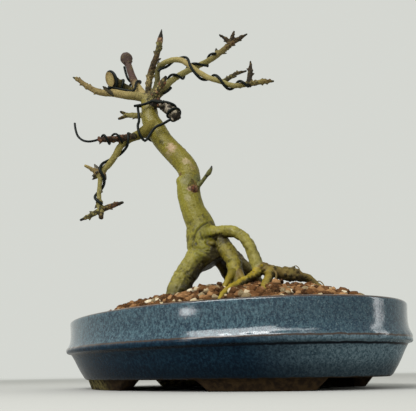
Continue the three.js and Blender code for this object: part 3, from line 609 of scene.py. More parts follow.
# Tones of bark, moss and cut wood, and the dark of painted shade
OLIVE = (0.152, 0.138, 0.004)
OLIVE_HIGH = (0.165, 0.138, 0.010)
OLIVE_TOP = (0.146, 0.116, 0.015)
ARCH_OLIVE = (0.235, 0.205, 0.046)
ROOT_OLIVE = (0.116, 0.093, 0.006)
ROOT_YELLOW = (0.230, 0.165, 0.005)
ROOT_BROWN = (0.120, 0.078, 0.018)
# Dark for the back roots, partly their dark bark and partly painted shade
BACK_ROOT = (0.042, 0.021, 0.006)
TWIG_OLIVE = (0.215, 0.185, 0.062)
TWIG_DARK = (0.034, 0.026, 0.012)
TWIG_BROWN = (0.095, 0.055, 0.018)
TWIG_TAN = (0.285, 0.218, 0.085)
PINK_TAN = (0.300, 0.165, 0.095)
DARK_OLIVE = (0.072, 0.062, 0.018)
PURPLE_BROWN = (0.058, 0.027, 0.022)
KNOB_GREY = (0.060, 0.040, 0.036)
GREY_BROWN = (0.030, 0.022, 0.016)
SCALE_PALE = (0.430, 0.370, 0.290)
SCALE_RED = (0.120, 0.040, 0.018)
SCALE_RUST = (0.16, 0.070, 0.040)
SHOOT_GREEN = (0.100, 0.100, 0.028)
MOSS_AND_SHADE_DARK = (0.012, 0.009, 0.002)
CROTCH_SHADE_BROWN = (0.024, 0.017, 0.003)
NEAR_BLACK = (0.011, 0.010, 0.007)
CUT_WOOD = (0.270, 0.205, 0.078)
CUT_EDGE = (0.17, 0.115, 0.04)

# What each limb's bark is like: its tone at the start and the end, how knotty it is, and how much of
# its end is dark
BARK = {
    "trunk": (OLIVE, OLIVE_TOP, 0.25, 0), "left": (OLIVE, ROOT_OLIVE, 0.5, 0),
    "middle": (ROOT_OLIVE, ROOT_YELLOW, 0.6, 0), "back_left": (BACK_ROOT, BACK_ROOT, 0.5, 0),
    "back_right": (BACK_ROOT, BACK_ROOT, 0.5, 0), "arch_root": (OLIVE_HIGH, ARCH_OLIVE, 0.35, 0),
    "foot_left": (ROOT_YELLOW, ROOT_YELLOW, 0.5, 0), "foot_down": (ROOT_BROWN, ROOT_YELLOW, 0.5, 0),
    "foot_right": (ROOT_BROWN, ROOT_BROWN, 0.7, 0), "droop": (OLIVE_TOP, TWIG_OLIVE, 0.8, 0),
    "droop_stub": (TWIG_BROWN, TWIG_TAN, 0.7, 0), "droop_end_right": (TWIG_BROWN, SCALE_RED, 1, 0.35),
    "droop_end_left": (TWIG_OLIVE, TWIG_OLIVE, 1, 0.3), "droop_end_down": (TWIG_OLIVE, TWIG_BROWN, 1, 0),
    "knot_twig": (TWIG_DARK, SCALE_RED, 1.4, 0), "fork_twig": (TWIG_OLIVE, TWIG_OLIVE, 0.8, 0),
    "fork_up": (TWIG_OLIVE, TWIG_BROWN, 1, 0.2), "fork_down": (TWIG_OLIVE, TWIG_BROWN, 1, 0.2),
    "node_scale_up": (TWIG_DARK, NEAR_BLACK, 0.8, 0), "node_scale_down": (TWIG_DARK, NEAR_BLACK, 0.8, 0),
    "left_branch": (TWIG_OLIVE, TWIG_BROWN, 0.8, 0.16), "sawn_stub": (OLIVE_TOP, TWIG_DARK, 0.9, 0),
    "knob_stub": (TWIG_TAN, KNOB_GREY, 0.7, 0), "leader": (TWIG_TAN, NEAR_BLACK, 0.9, 0),
    "arch_branch": (DARK_OLIVE, TWIG_BROWN, 0.7, 0.03), "arch_up": (NEAR_BLACK, TWIG_BROWN, 1, 0.15),
    "arch_twig": (TWIG_OLIVE, TWIG_BROWN, 1, 0.2), "right_branch": (TWIG_DARK, TWIG_BROWN, 0.8, 0),
    "right_tip": (TWIG_BROWN, TWIG_DARK, 1, 0.3), "right_tip_middle": (TWIG_DARK, TWIG_BROWN, 1, 0.2),
    "right_tip_left": (TWIG_BROWN, TWIG_DARK, 1, 0.3), "short_stub": (TWIG_OLIVE, TWIG_TAN, 1, 0.34),
    "knuckle": (GREY_BROWN, GREY_BROWN, 1.9, 0), "trunk_shoot": (SHOOT_GREEN, SHOOT_GREEN, 0.5, 0.3),
    "shoulder": (OLIVE, OLIVE, 0.3, 0), "right_knob": (OLIVE_TOP, OLIVE_TOP, 0.6, 0),
    "callus": (ROOT_OLIVE, ROOT_OLIVE, 0.5, 0), "collar": (OLIVE, OLIVE, 0.5, 0),
    "left_lip": (OLIVE, OLIVE, 0.5, 0), "foot_right_knob": (ROOT_BROWN, NEAR_BLACK, 0.6, 0),
    "middle_toe_left": (ROOT_OLIVE, ROOT_YELLOW, 0.5, 0),
    "middle_toe_right": (ROOT_BROWN, ROOT_YELLOW, 0.5, 0), "back_middle": (BACK_ROOT, BACK_ROOT, 0.5, 0),
    "scar": (OLIVE_TOP, SCALE_RED, 0.9, 0),
}

# Tones between the start and the end of a limb, each with its station
MIDDLE_TONES = {
    "left_branch": [(2.5, TWIG_TAN)],
    "trunk": [(7.5, OLIVE_HIGH)],
    "droop": [(7.5, TWIG_OLIVE)],
    "arch_branch": [(2.1, DARK_OLIVE), (2.7, TWIG_OLIVE), (4.5, TWIG_TAN), (7.5, TWIG_OLIVE)],
    "right_branch": [(0.9, DARK_OLIVE), (1.7, TWIG_OLIVE), (5.0, TWIG_OLIVE)],
    "leader": [(1.5, TWIG_TAN), (2.1, TWIG_DARK), (2.8, TWIG_BROWN), (3.2, DARK_OLIVE), (4.3, TWIG_OLIVE),
               (4.6, PINK_TAN), (5.1, PINK_TAN), (5.3, NEAR_BLACK)],
    "knob_stub": [(0.7, TWIG_TAN), (1.2, PURPLE_BROWN)],
}

# Buds and bud scales: limb, station, degrees round it, and length
BUDS = [
    ("droop", 4.2, 300, 5), ("droop", 5.95, 250, 8), ("droop", 6.05, 40, 6), ("droop", 6.2, 110, 9),
    ("droop", 7.6, 300, 5), ("droop", 8.5, 100, 6), ("droop_stub", 0.6, 90, 9),
    ("droop_stub", 0.9, 270, 6), ("droop_end_right", 0.7, 80, 4), ("droop_end_right", 1.2, 260, 4),
    ("droop_end_left", 0.8, 80, 4), ("droop_end_left", 1.2, 260, 4), ("knot_twig", 1.2, 80, 4),
    ("knot_twig", 1.8, 265, 4), ("knot_twig", 2.4, 80, 4), ("knot_twig", 2.8, 250, 4),
    ("fork_twig", 1.6, 270, 5), ("left_branch", 4.3, 260, 4), ("left_branch", 4.9, 80, 4),
    ("left_branch", 5.5, 260, 4), ("left_branch", 6, 90, 4), ("sawn_stub", 1.9, 180, 4),
    ("leader", 1.5, 260, 5), ("leader", 1.6, 80, 5), ("leader", 2.2, 350, 4), ("leader", 2.6, 80, 6),
    ("leader", 3, 265, 5), ("leader", 3.5, 90, 4), ("leader", 4, 270, 4), ("arch_branch", 2.1, 265, 7),
    ("arch_branch", 3.4, 180, 4), ("arch_branch", 9.5, 20, 4), ("arch_branch", 9.9, 270, 4),
    ("arch_branch", 10.3, 90, 4), ("arch_up", 0.8, 90, 4), ("arch_up", 1.2, 265, 4),
    ("arch_twig", 0.8, 260, 4), ("arch_twig", 1.4, 80, 4), ("arch_twig", 2.1, 265, 4),
    ("right_branch", 6.4, 265, 9), ("right_branch", 6.6, 90, 6), ("right_branch", 7.7, 100, 5),
    ("right_branch", 7.9, 200, 5), ("right_tip", 0.8, 90, 4), ("right_tip", 1.1, 260, 4),
    ("right_tip_middle", 0.7, 90, 4), ("right_tip_left", 0.8, 260, 4), ("short_stub", 1.2, 90, 4),
    ("short_stub", 1.5, 265, 4), ("trunk_shoot", 0.2, 250, 4),
]
PALE_BUDS = ("droop", "droop_stub", "fork_twig", "left_branch")
BUD_WIDTH = 0.42  # of its length
BUD_LEAN = 0.9  # along the limb, for 1 straight out from it
BUD_SUNK = 0.4  # of the limb's radius
BUD_START = 0.1  # of its length, back into the bark
BUD_SKIN = 0.15  # added to its radius
BUD_SHAPE = [(0, 0.85), (0.3, 1.15), (0.6, 0.9), (0.85, 0.5), (1.05, 0.12)]  # how far out, how thick
BUD_PLACES = (0.45, 0.75, 1.0)  # where along a bud its tone is kept
BUD_KNOTTY = 0.4
LIMB_STEP = 1.6  # between the rings of a limb, in millimetres
LIMB_SIDES = 16
BUD_SIDES = 8
ROUND_ENDS = 0.6  # of the radius, past the last station
ROUND_SHAPE = [(0.55, 0.8), (1.0, 0.3)]  # how far out, how thick
DARK_SPREAD = 1.6  # how soon a dark end is fully dark
SAWN_SPARE = 7  # what stands past the sawn face until it is cut

limb_pieces, marks_on_bark = [], []


def remember(point, radius, colour, knotty, travelled=0.0, limb="lump"):
    """Keep the bark's colour and knottiness here, and how far along its limb this is."""
    marks_on_bark.append((point, radius, colour, knotty, travelled, limb))


def mix(first, second, share):
    return tuple(a + (b - a) * share for a, b in zip(first, second))


def tone_at(stops, station):
    """The tone between these stops, each a station and its tone."""
    places = [place for place, _ in stops]
    return tuple(float(np.interp(station, places, channel)) for channel in zip(*[tone for _, tone in stops]))


for name, stations in LIMBS.items():
    start_tone, end_tone, knotty, dark_end = BARK[name]
    last = len(stations) - 1
    stops = [(0, start_tone), *MIDDLE_TONES.get(name, []), (last, end_tone)]
    knots, radii, travelled = [], [], 0.0
    numbers = [0.0]
    for span in range(last):
        length = math.dist(stations[span][:3], stations[span + 1][:3])
        pieces = max(2, round(length / LIMB_STEP))
        numbers += [span + (k + 1) / pieces for k in range(pieces)]
    for number in numbers:
        point = along_limb(stations, number)
        radius = radius_at(stations, number)
        if knots:
            travelled += float(np.linalg.norm(point - knots[-1]))
        share = number / last
        colour = tone_at(stops, number)
        if dark_end and share > 1 - dark_end:
            colour = mix(colour, NEAR_BLACK, min(1, (share - 1 + dark_end) / dark_end * DARK_SPREAD))
        remember(point, radius, colour, knotty, travelled, name)
        knots.append(point)
        radii.append(radius)
    if name == "sawn_stub":
        knots.append(knots[-1] + direction_at(stations, last) * SAWN_SPARE)
        radii.append(radii[-1])
    else:
        end = direction_at(stations, last) * radii[-1] * ROUND_ENDS
        knots += [knots[-1] + end * out for out, _ in ROUND_SHAPE]
        radii += [radii[-1] * thick for _, thick in ROUND_SHAPE]
    limb_pieces.append(round_bar(name, knots, radii, LIMB_SIDES))

for name, station, degrees, length in BUDS:
    stations = LIMBS[name]
    along = direction_at(stations, station)
    middle = along_limb(stations, station)
    out = beside_limb(stations, station, degrees, 1.0) - middle
    aim = out + BUD_LEAN * along
    aim /= np.linalg.norm(aim)
    foot_of_bud = middle + out * radius_at(stations, station) * (1 - BUD_SUNK) - aim * BUD_START * length
    thick = BUD_WIDTH * length / 2
    knots = [foot_of_bud + aim * length * share for share, _ in BUD_SHAPE]
    radii = [thick * width + BUD_SKIN for _, width in BUD_SHAPE]
    limb_pieces.append(round_bar("bud", knots, radii, BUD_SIDES))
    bud_tone = TWIG_DARK if name in PALE_BUDS else NEAR_BLACK
    for share in BUD_PLACES:
        place = foot_of_bud + aim * length * share
        remember(place, thick * (1.1 - 0.6 * share), bud_tone, BUD_KNOTTY)

# Scaly lumps of bark: limb, first and last station, how many, radius and the colours they lie between
SCALES = [
    ("knuckle", 1.2, 3.0, 55, 1.5, GREY_BROWN, SCALE_PALE),
    ("knuckle", 0.5, 1.5, 22, 1.4, NEAR_BLACK, SCALE_RED),
    ("knuckle", 1.2, 3.0, 34, 1.4, NEAR_BLACK, GREY_BROWN),
    ("knot_twig", 0.5, 3.0, 34, 1.5, NEAR_BLACK, SCALE_RUST),
    ("short_stub", 0.6, 2.2, 24, 1.2, SCALE_RED, PINK_TAN),
    ("leader", 0.2, 1.6, 12, 1.2, TWIG_BROWN, TWIG_TAN),
    ("leader", 1.6, 2.5, 16, 1.4, NEAR_BLACK, SCALE_RED),
    ("leader", 2.5, 4.2, 8, 1.0, TWIG_DARK, DARK_OLIVE),
    ("arch_branch", 0.6, 2.0, 12, 1.1, TWIG_DARK, DARK_OLIVE),
    ("arch_branch", 8.4, 10.8, 34, 1.1, TWIG_DARK, TWIG_BROWN),
    ("arch_up", 0.2, 1.8, 16, 1.0, NEAR_BLACK, TWIG_BROWN),
    ("arch_twig", 0.6, 2.6, 16, 0.95, TWIG_DARK, TWIG_BROWN),
    ("right_branch", 6.9, 8.0, 24, 1.3, TWIG_DARK, SCALE_RED),
    ("right_tip", 0.2, 1.8, 12, 1.0, TWIG_DARK, TWIG_BROWN),
    ("right_tip_left", 0.2, 1.8, 10, 1.0, TWIG_DARK, TWIG_BROWN),
    ("right_tip_middle", 0.2, 1.6, 8, 1.0, NEAR_BLACK, TWIG_BROWN),
    ("left_branch", 4.0, 6.4, 24, 1.1, TWIG_BROWN, TWIG_TAN),
    ("sawn_stub", 2.2, 2.6, 14, 1.4, TWIG_DARK, TWIG_BROWN),
    ("droop", 5.6, 6.5, 14, 1.2, TWIG_BROWN, TWIG_TAN),
    ("droop_stub", 0.3, 1.9, 10, 1.1, TWIG_BROWN, TWIG_TAN),
    ("droop", 8.2, 9.0, 10, 1.2, TWIG_DARK, TWIG_TAN),
    ("droop_end_right", 0.2, 1.8, 10, 1.0, TWIG_DARK, SCALE_RED),
    ("droop_end_left", 0.2, 1.8, 10, 1.0, TWIG_BROWN, TWIG_TAN),
    ("fork_twig", 0.9, 3.0, 12, 1.0, TWIG_DARK, TWIG_TAN),
    ("knob_stub", 3.0, 3.4, 10, 1.0, NEAR_BLACK, PURPLE_BROWN),
    ("knob_stub", 0.3, 1.2, 12, 1.3, PURPLE_BROWN, TWIG_TAN),
    ("foot_down", 0.0, 0.8, 12, 1.3, TWIG_BROWN, ROOT_YELLOW),
    ("foot_right", 0.3, 4.0, 26, 1.2, TWIG_DARK, ROOT_BROWN),
    ("foot_left", 0.5, 3.2, 14, 1.0, ROOT_OLIVE, ROOT_YELLOW),
]
SCALE_PROUD = -0.1  # of its radius, from the bark to its middle
KNUCKLE_PROUD = 0.2
SCALE_SPREAD = (0.6, 1.15)
SCALE_WIDER = (0.8, 1.2)
SCALE_TALLER = (0.8, 1.3)
SCALE_TONE_REACH = 0.92  # of its radius
SCALE_KNOTTY = 0.8
random.seed(11)
for name, first, last, count, size, dark, pale in SCALES:
    for _ in range(count):
        station = random.uniform(first, last)
        radius = size * random.uniform(*SCALE_SPREAD)
        proud = KNUCKLE_PROUD if name == "knuckle" else SCALE_PROUD
        reach = radius_at(LIMBS[name], station) + radius * proud
        middle = beside_limb(LIMBS[name], station, random.uniform(0, 360), reach)
        select_none()
        bpy.ops.mesh.primitive_ico_sphere_add(subdivisions=2, radius=radius, location=middle)
        lump = bpy.context.object
        lump.scale = [random.uniform(*spread) for spread in (SCALE_WIDER, SCALE_WIDER, SCALE_TALLER)]
        limb_pieces.append(lump)
        tone = mix(dark, pale, random.random() ** 1.3)
        remember(middle, radius * SCALE_TONE_REACH, tone, SCALE_KNOTTY)

VOXEL = 0.72  # in millimetres
TREE_FACES = 196000  # triangles that the tree keeps
tree = join_to(limb_pieces[0], limb_pieces[1:])
only(tree)
bpy.ops.object.transform_apply(location=True, rotation=True, scale=True)
tree.name = "ash_tree"
apply_modifier(tree, "REMESH", mode="VOXEL", voxel_size=VOXEL, adaptivity=0.0)
apply_modifier(tree, "SMOOTH", factor=0.5, iterations=1)

# What each place on the bark belongs to is found from the nearest of the marks kept above
MARKS_NEAR = 9
bark_tree = kdtree.KDTree(len(marks_on_bark))
for number, entry in enumerate(marks_on_bark):
    bark_tree.insert(Vector(entry[0]), number)
bark_tree.balance()
surface = points_of(tree)
normals = np.empty(len(tree.data.vertices) * 3)
tree.data.vertices.foreach_get("normal", normals)
normals = normals.reshape(-1, 3)

# Folds in the bark where the roots meet the trunk, as lines of (right, up) on the tree's front, each
# with its depth in millimetres
FOLDS = [
    (1.6, [(-8.2, 140.0), (-11.8, 137.8), (-15.4, 135.0), (-18.1, 131.8), (-19.9, 128.6), (-21.3, 125.0),
           (-22.2, 121.3), (-22.6, 118.2)]),
    (0.6, [(-9.1, 136.7), (-11.8, 135.3), (-14.5, 133.0)]),
    (1.4, [(-15.4, 130.9), (-15.1, 128.2), (-14.1, 125.4), (-12.8, 123.6)]),
    (0.7, [(-12.7, 132.7), (-10.9, 130.9), (-11.4, 127.2), (-9.7, 124.4)]),
    (1.2, [(-19.0, 121.6), (-18.6, 119.5)]),
    (1.7, [(-10.2, 121.2), (-8.9, 119.4), (-6.7, 117.6), (-3.7, 116.4), (-1.5, 116.1), (-0.6, 118.3),
           (-0.5, 121.5)]),
    (0.8, [(-9.7, 122.1), (-7.5, 123.4), (-4.0, 124.1), (-1.4, 123.0)]),
    (0.9, [(-5.7, 126.4), (-2.2, 126.5), (1.4, 127.3)]),
    (0.9, [(-20.9, 115.6), (-18.2, 115.3), (-15.6, 115.5)]),
    (1.2, [(-15.6, 113.8), (-13.0, 112.6), (-10.4, 111.3), (-8.2, 109.3)]),
    (0.9, [(-15.6, 113.9), (-12.1, 115.1), (-8.5, 115.8), (-5.0, 115.7)]),
    (1.2, [(-9.9, 113.4), (-8.1, 113.3)]),
    (0.8, [(-19.1, 111.1), (-16.5, 109.7), (-14.3, 107.0)]),
    (0.6, [(-16.2, 145.6), (-13.5, 146.7), (-9.9, 146.5)]),
    (0.5, [(-10.8, 143.2), (-7.2, 141.9), (-4.6, 140.3)]),
    (0.5, [(-26.2, 140.2), (-22.5, 142.0)]),
    (0.5, [(-25.3, 135.5), (-23.9, 133.1)]),
    (0.6, [(8.7, 112.7), (11.3, 113.6), (14.8, 112.6)]),
    (0.6, [(8.3, 101.8), (11.8, 103.0), (16.0, 102.5)]),
    (0.6, [(-33.5, 190.5), (-31, 189.2), (-27.5, 188.6)]),
    (0.5, [(-24.2, 193), (-18.6, 190.9)]),
    (0.5, [(-26.1, 190), (-19.5, 187.9)]),
    (0.4, [(-25, 197.5), (-18.5, 195.5)]),
]
FOLD_WIDTH = 1.0
# The fold's dark tone is painted shade
FOLD_SHADE = 0.7  # how far its dark tone reaches
FOLD_SINK = 0.55  # of its depth
FOLD_LIFT = 0.14  # of its depth, for the lip beside it
FOLD_LIP = (2.2, 1.2)  # how far from the fold the lip lies, and how wide it is
FOLD_FRONT = -19  # only what lies nearer than this is folded
FOLD_TOP = 210  # and only below this
FOLD_STEP = 0.5
fold_points = []
for depth, line in FOLDS:
    for (x0, z0), (x1, z1) in zip(line, line[1:]):
        pieces = max(2, round(math.hypot(x1 - x0, z1 - z0) / FOLD_STEP))
        for k in range(pieces + 1):
            fold_points.append((x0 + (x1 - x0) * k / pieces, z0 + (z1 - z0) * k / pieces, depth))
fold_tree = kdtree.KDTree(len(fold_points))
for number, (x, z, _) in enumerate(fold_points):
    fold_tree.insert(Vector((x, 0, z)), number)
fold_tree.balance()

# Paler bark tones that are painted light: on the trunk's bright side and on top of the roots
PAINTED_LIGHT_BARK = (0.290, 0.254, 0.040)
PAINTED_LIGHT_TONES = {
    "foot_left": (0.340, 0.250, 0.014), "foot_down": (0.260, 0.190, 0.016),
    "foot_right": (0.170, 0.125, 0.030),
}
LOW_TRUNK = 150  # the trunk is rougher and darker below this height
LOW_TRUNK_FADE = 15
LOW_LUMPS = ("trunk", "callus", "collar", "left_lip")
# Below these heights the bark gets painted shade: on the undersides of the low lumps, and on the roots
# towards the soil
LUMP_SHADE_TOP = 128  # their undersides are dark below this height
SOIL_SHADE_TOP = 88  # roots darken from here down to the soil
SOIL_SHADE_FADE = 30
FLECKED = ("trunk", "left", "middle", "callus", "collar")
RING_DEPTH = 0.95
FLAT_CREST = 0.58  # of the way from one wrinkle to the next, where a root isn't sunk

# How far apart the wrinkles lie across each root
RINGED = {
    "left": 4.2, "middle": 3.8, "arch_root": 5.5, "foot_left": 3.2, "foot_down": 3.2, "foot_right": 3.6,
    "back_left": 4, "back_right": 4, "back_middle": 4,
}

# Stains, scars, worn places, painted shade and a painted highlight: place on the front, reach, colour,
# strength
STAINS = [
    ((-67, -18, 285), 5.5, (0.020, 0.018, 0.016), 0.85),
    ((-61.5, -20, 281), 4, (0.030, 0.022, 0.014), 0.7),
    ((-42.5, -27, 217.5), 6, (0.380, 0.255, 0.150), 0.85),
    ((-46.5, -26, 211.5), 5.5, (0.260, 0.200, 0.110), 0.7), ((-45, -26, 219.5), 1.3, NEAR_BLACK, 0.9),
    ((-45.5, -27, 211), 1.4, NEAR_BLACK, 0.9), ((-46, -24, 204), 6, (0.130, 0.105, 0.070), 0.6),
    # On this line and the next two: a pale pink patch on the trunk's upper left that is partly a painted
    # highlight
    ((-52.5, -26, 224.5), 4, MOSS_AND_SHADE_DARK, 0.8), ((-28.4, -28, 203), 4, (0.400, 0.310, 0.180), 0.75),
    ((-24.5, -28, 202), 3.5, (0.280, 0.215, 0.110), 0.6),
    ((-21, -28, 197), 4.5, (0.200, 0.140, 0.070), 0.45),
    ((-26, -30, 184), 7.5, (0.085, 0.080, 0.012), 0.6),
    ((-34.5, -22, 190), 3.5, (0.110, 0.055, 0.020), 0.8),
    ((-35.5, -22, 185.5), 2.5, (0.300, 0.240, 0.110), 0.6),
    ((-20.5, -32, 174), 3, (0.100, 0.032, 0.014), 0.95),
    ((-25, -31, 174), 3, (0.300, 0.190, 0.130), 0.85),
    ((-22.9, -32, 175.8), 1.8, (0.420, 0.320, 0.160), 0.85),
    ((-16.4, -29, 175), 3.8, (0.180, 0.105, 0.050), 0.8), ((-20.4, -32, 169.9), 2.6, MOSS_AND_SHADE_DARK, 0.75),
    ((-20.4, -32, 168.4), 1.4, (0.300, 0.280, 0.190), 0.6), ((-9, -31.5, 185.9), 1.7, NEAR_BLACK, 0.95),
    # Painted shade in the crotches between the roots, under the arch root and under the left root
    ((1.8, -34, 125.5), 6.5, CROTCH_SHADE_BROWN, 0.85), ((6.5, -36, 121.8), 5, CROTCH_SHADE_BROWN, 0.8),
    ((-8.6, -34, 106.5), 6.5, CROTCH_SHADE_BROWN, 0.85), ((-3.3, -34, 111), 6, CROTCH_SHADE_BROWN, 0.9),
    ((-15, -36, 99), 7, CROTCH_SHADE_BROWN, 0.75), ((-19, -33, 120.5), 1.6, MOSS_AND_SHADE_DARK, 0.8),
    ((-26.9, -32, 164.8), 4.5, (0.270, 0.240, 0.125), 0.5),
    ((-30, -30, 183), 4, (0.240, 0.215, 0.110), 0.4), ((-31.6, -30, 159.8), 1.3, MOSS_AND_SHADE_DARK, 0.8),
    ((-15.5, -28, 164.3), 1.8, MOSS_AND_SHADE_DARK, 0.7), ((-1, -30, 110), 8, CROTCH_SHADE_BROWN, 0.8),
]

# The sawn face
CUT_NORMAL = Vector((-0.68, -0.66, -0.32)).normalized()
CUT_MIDDLE = Vector((-107.8, -8.5, 305))
CUT_AXIS = Vector(direction_at(LIMBS["sawn_stub"], 3))
CUT_REACH = 15  # what lies further from its middle isn't cut
CUT_SHADE = 3.2  # how far behind it the bark is black
CUT_SKIN = 0.4  # what lies this near behind it becomes part of it
CUT_CORE = 4  # from its middle to where its edge darkens


def ripple(here, size, shift=(0, 0, 0)):
    """Smooth noise about 0 whose features are about this many millimetres across."""
    return noise.noise(here / size + Vector(shift))


# Towards the dark of moss, and of painted shade where it darkens creases, folds and undersides
def darker(colour, share):
    return mix(colour, MOSS_AND_SHADE_DARK, share)


def nearest_mark(here):
    """The mark that a place on the bark belongs to, by its distance against the mark's radius."""
    near = bark_tree.find_n(here, MARKS_NEAR)
    _, number, _ = min(near, key=lambda found: found[2] / marks_on_bark[found[1]][1])
    return marks_on_bark[number]


def trunk_light_and_shade(colour, normal):
    """Painted light on the side towards the key lamp, and painted shade on the side away from it."""
    lee = 0.85 * normal[0] - 0.25 * normal[2]
    return mix(colour, PAINTED_LIGHT_BARK, max(0.0, -0.4 * lee)) if lee < 0 else darker(colour, 0.38 * lee)


def ring_crease(here, limb, travelled, fine):
    """How deep in a wrinkle across the root a place lies, from 0 to 1."""
    place = travelled / RINGED[limb] + 0.9 * ripple(here, 6.0) + 0.25 * fine
    crease = max(0.0, abs((place % 1) - 0.5) * 2 - FLAT_CREST) / (1 - FLAT_CREST)
    return crease * min(1.0, max(0.0, 0.55 + 1.8 * ripple(here, 9.0, (7, 3, 1))))


def lit_root_top(colour, limb, normal, coarse):
    """Painted light on top of a root."""
    lit_top = max(0.0, 0.75 * normal[2] - 0.5 * normal[0] - 0.25 * normal[1] - 0.1)
    return mix(colour, PAINTED_LIGHT_TONES.get(limb, PAINTED_LIGHT_BARK), min(0.6, lit_top * (0.75 + 0.8 * coarse)))


def underside(colour, limb, height, normal, coarse, fine):
    """Painted shade under a root, and near the soil."""
    under = 1.35 * max(0.0, 0.66 * normal[0] - 0.75 * normal[2] + 0.02 + 0.14 * fine)
    if not limb.startswith("foot") and limb in RINGED:
        under += max(0.0, (SOIL_SHADE_TOP - height) / SOIL_SHADE_FADE)
    return darker(colour, max(0.0, min(0.95, under * (1.25 + 0.8 * coarse))))


def dark_flecks(colour, here, height):
    """Small dark flecks, thicker on the low trunk and the roots."""
    fleck = ripple(here, 1.9, (3, 9, 5)) + 0.5 * ripple(here, 9.0, (1, 4, 2))
    strength = 0.9 if height < LOW_TRUNK else 0.4
    return darker(colour, strength * min(0.8, max(0.0, 2.4 * (fleck - 0.28))))


# Each place on the bark has a tone, is more or less knotty, and lies a little in or out
tones = np.empty((len(surface), 4))
moved = surface.copy()
for row, point in enumerate(surface):
    here, normal, height = Vector(point), normals[row], point[2]
    _, radius, colour, knotty, travelled, limb = nearest_mark(here)
    coarse, fine = ripple(here, 7.0), ripple(here, 2.3)
    lift = (0.06 + 0.20 * knotty) * fine + 0.25 * coarse
    if limb in ("trunk", "shoulder"):
        colour = trunk_light_and_shade(colour, normal)
        if height > LOW_TRUNK:
            lift += 0.25 * ripple(here, 1.6)
    if limb == "trunk" and height < LOW_TRUNK:
        rougher = min(1, (LOW_TRUNK - height) / LOW_TRUNK_FADE)
        lift += 0.5 * rougher * ripple(here, 3.5)
        colour = darker(colour, rougher * min(0.5, max(0.0, 1.3 * ripple(here, 3.2))))
    if limb in RINGED:
        crease = ring_crease(here, limb, travelled, fine)
        lift += 0.7 * ripple(here, 4.0) - RING_DEPTH * crease * min(1, radius / 4)
        # Painted shade in the wrinkles
        colour = darker(colour, min(0.9, 1.3 * crease * crease))
        colour = darker(colour, min(0.4, max(0.0, 0.9 * (ripple(here, 4.2) + 0.05))))
        colour = lit_root_top(colour, limb, normal, coarse)
    # Painted shade under the roots and the low lumps of the trunk
    if limb in RINGED or (limb in LOW_LUMPS and height < LUMP_SHADE_TOP):
        colour = underside(colour, limb, height, normal, coarse, fine)
    if limb in FLECKED:
        colour = dark_flecks(colour, here, height)
    if point[1] < FOLD_FRONT and height < FOLD_TOP:
        _, number, distance = fold_tree.find(Vector((point[0], 0, height)))
        depth = fold_points[number][2]
        lift -= depth * FOLD_SINK * math.exp(-((distance / FOLD_WIDTH) ** 2))
        lift += FOLD_LIFT * depth * math.exp(-(((distance - FOLD_LIP[0]) / FOLD_LIP[1]) ** 2))
        # Painted shade in the folds
        colour = darker(colour, min(0.8, 0.5 * depth) * math.exp(-((distance / FOLD_SHADE) ** 2)))
    for spot, reach, stain, strength in STAINS:
        near = 1 - (here - Vector(spot)).length / (reach * (1 + 0.5 * fine))
        if near > 0:
            colour = mix(colour, stain, strength * min(1, near * 2.5))
    from_cut = here - CUT_MIDDLE
    past = from_cut.dot(CUT_NORMAL)
    if from_cut.length < CUT_REACH and past > -CUT_SHADE:
        if past > -CUT_SKIN:  # the sawn face itself, flat and of clean wood
            moved[row] = here - CUT_AXIS * (past / CUT_AXIS.dot(CUT_NORMAL)) + CUT_NORMAL * 0.15 * fine
            across = (Vector(moved[row]) - CUT_MIDDLE).length
            edge = min(1, max(0, 0.25 + coarse + (across - CUT_CORE) / 4))
            tones[row] = (*mix(CUT_WOOD, CUT_EDGE, edge), 0)
            continue
        colour = NEAR_BLACK
    tones[row] = (*colour, min(1, knotty))
    moved[row] = point + normal * lift
move_points(tree, moved)


def tint_bark(piece, shades):
    layer = piece.data.attributes.new("bark_tone", "FLOAT_COLOR", "POINT")
    layer.data.foreach_set("color", shades.ravel())


tint_bark(tree, tones)
apply_modifier(tree, "DECIMATE", ratio=min(1.0, TREE_FACES / (2 * len(tree.data.polygons))))

# Hair roots: radius and path
HAIR_STEPS = 4  # from each point of a path to the next
HAIR_SIDES = 8
HAIR_KNOTTY = 0.5
HAIR_ROOTS = [
    (0.45, [(78, -50, 80.5), (80, -50, 81.6), (82.2, -52, 82.5), (84.6, -55, 79.5), (85.6, -58, 73)]),
    (0.9, [(42.5, -51, 92.5), (45, -54, 91.5), (46.8, -56.5, 88.5), (46, -59, 84.5), (43, -61, 80.5)]),
    (0.4, [(61, -52, 94), (64, -53, 95.3), (66.5, -53.5, 92.5), (66, -54, 88.5)]),
]


def bend_through(path, pieces):
    """A smooth line through these points, with this many pieces from each to the next."""
    stations = [(*point, 0) for point in path]
    return [along_limb(stations, number / pieces) for number in range(pieces * (len(path) - 1) + 1)]


hairs = []
for radius, path in HAIR_ROOTS:
    bends = bend_through(path, HAIR_STEPS)
    hair = round_bar("hair_root", bends, [radius] * len(bends), HAIR_SIDES)
    tint_bark(hair, np.tile((*ROOT_BROWN, HAIR_KNOTTY), (len(hair.data.vertices), 1)))
    hairs.append(hair)
join_to(tree, hairs)
settle(tree, TREE_TURN)
only(tree)
bpy.ops.object.shade_smooth()

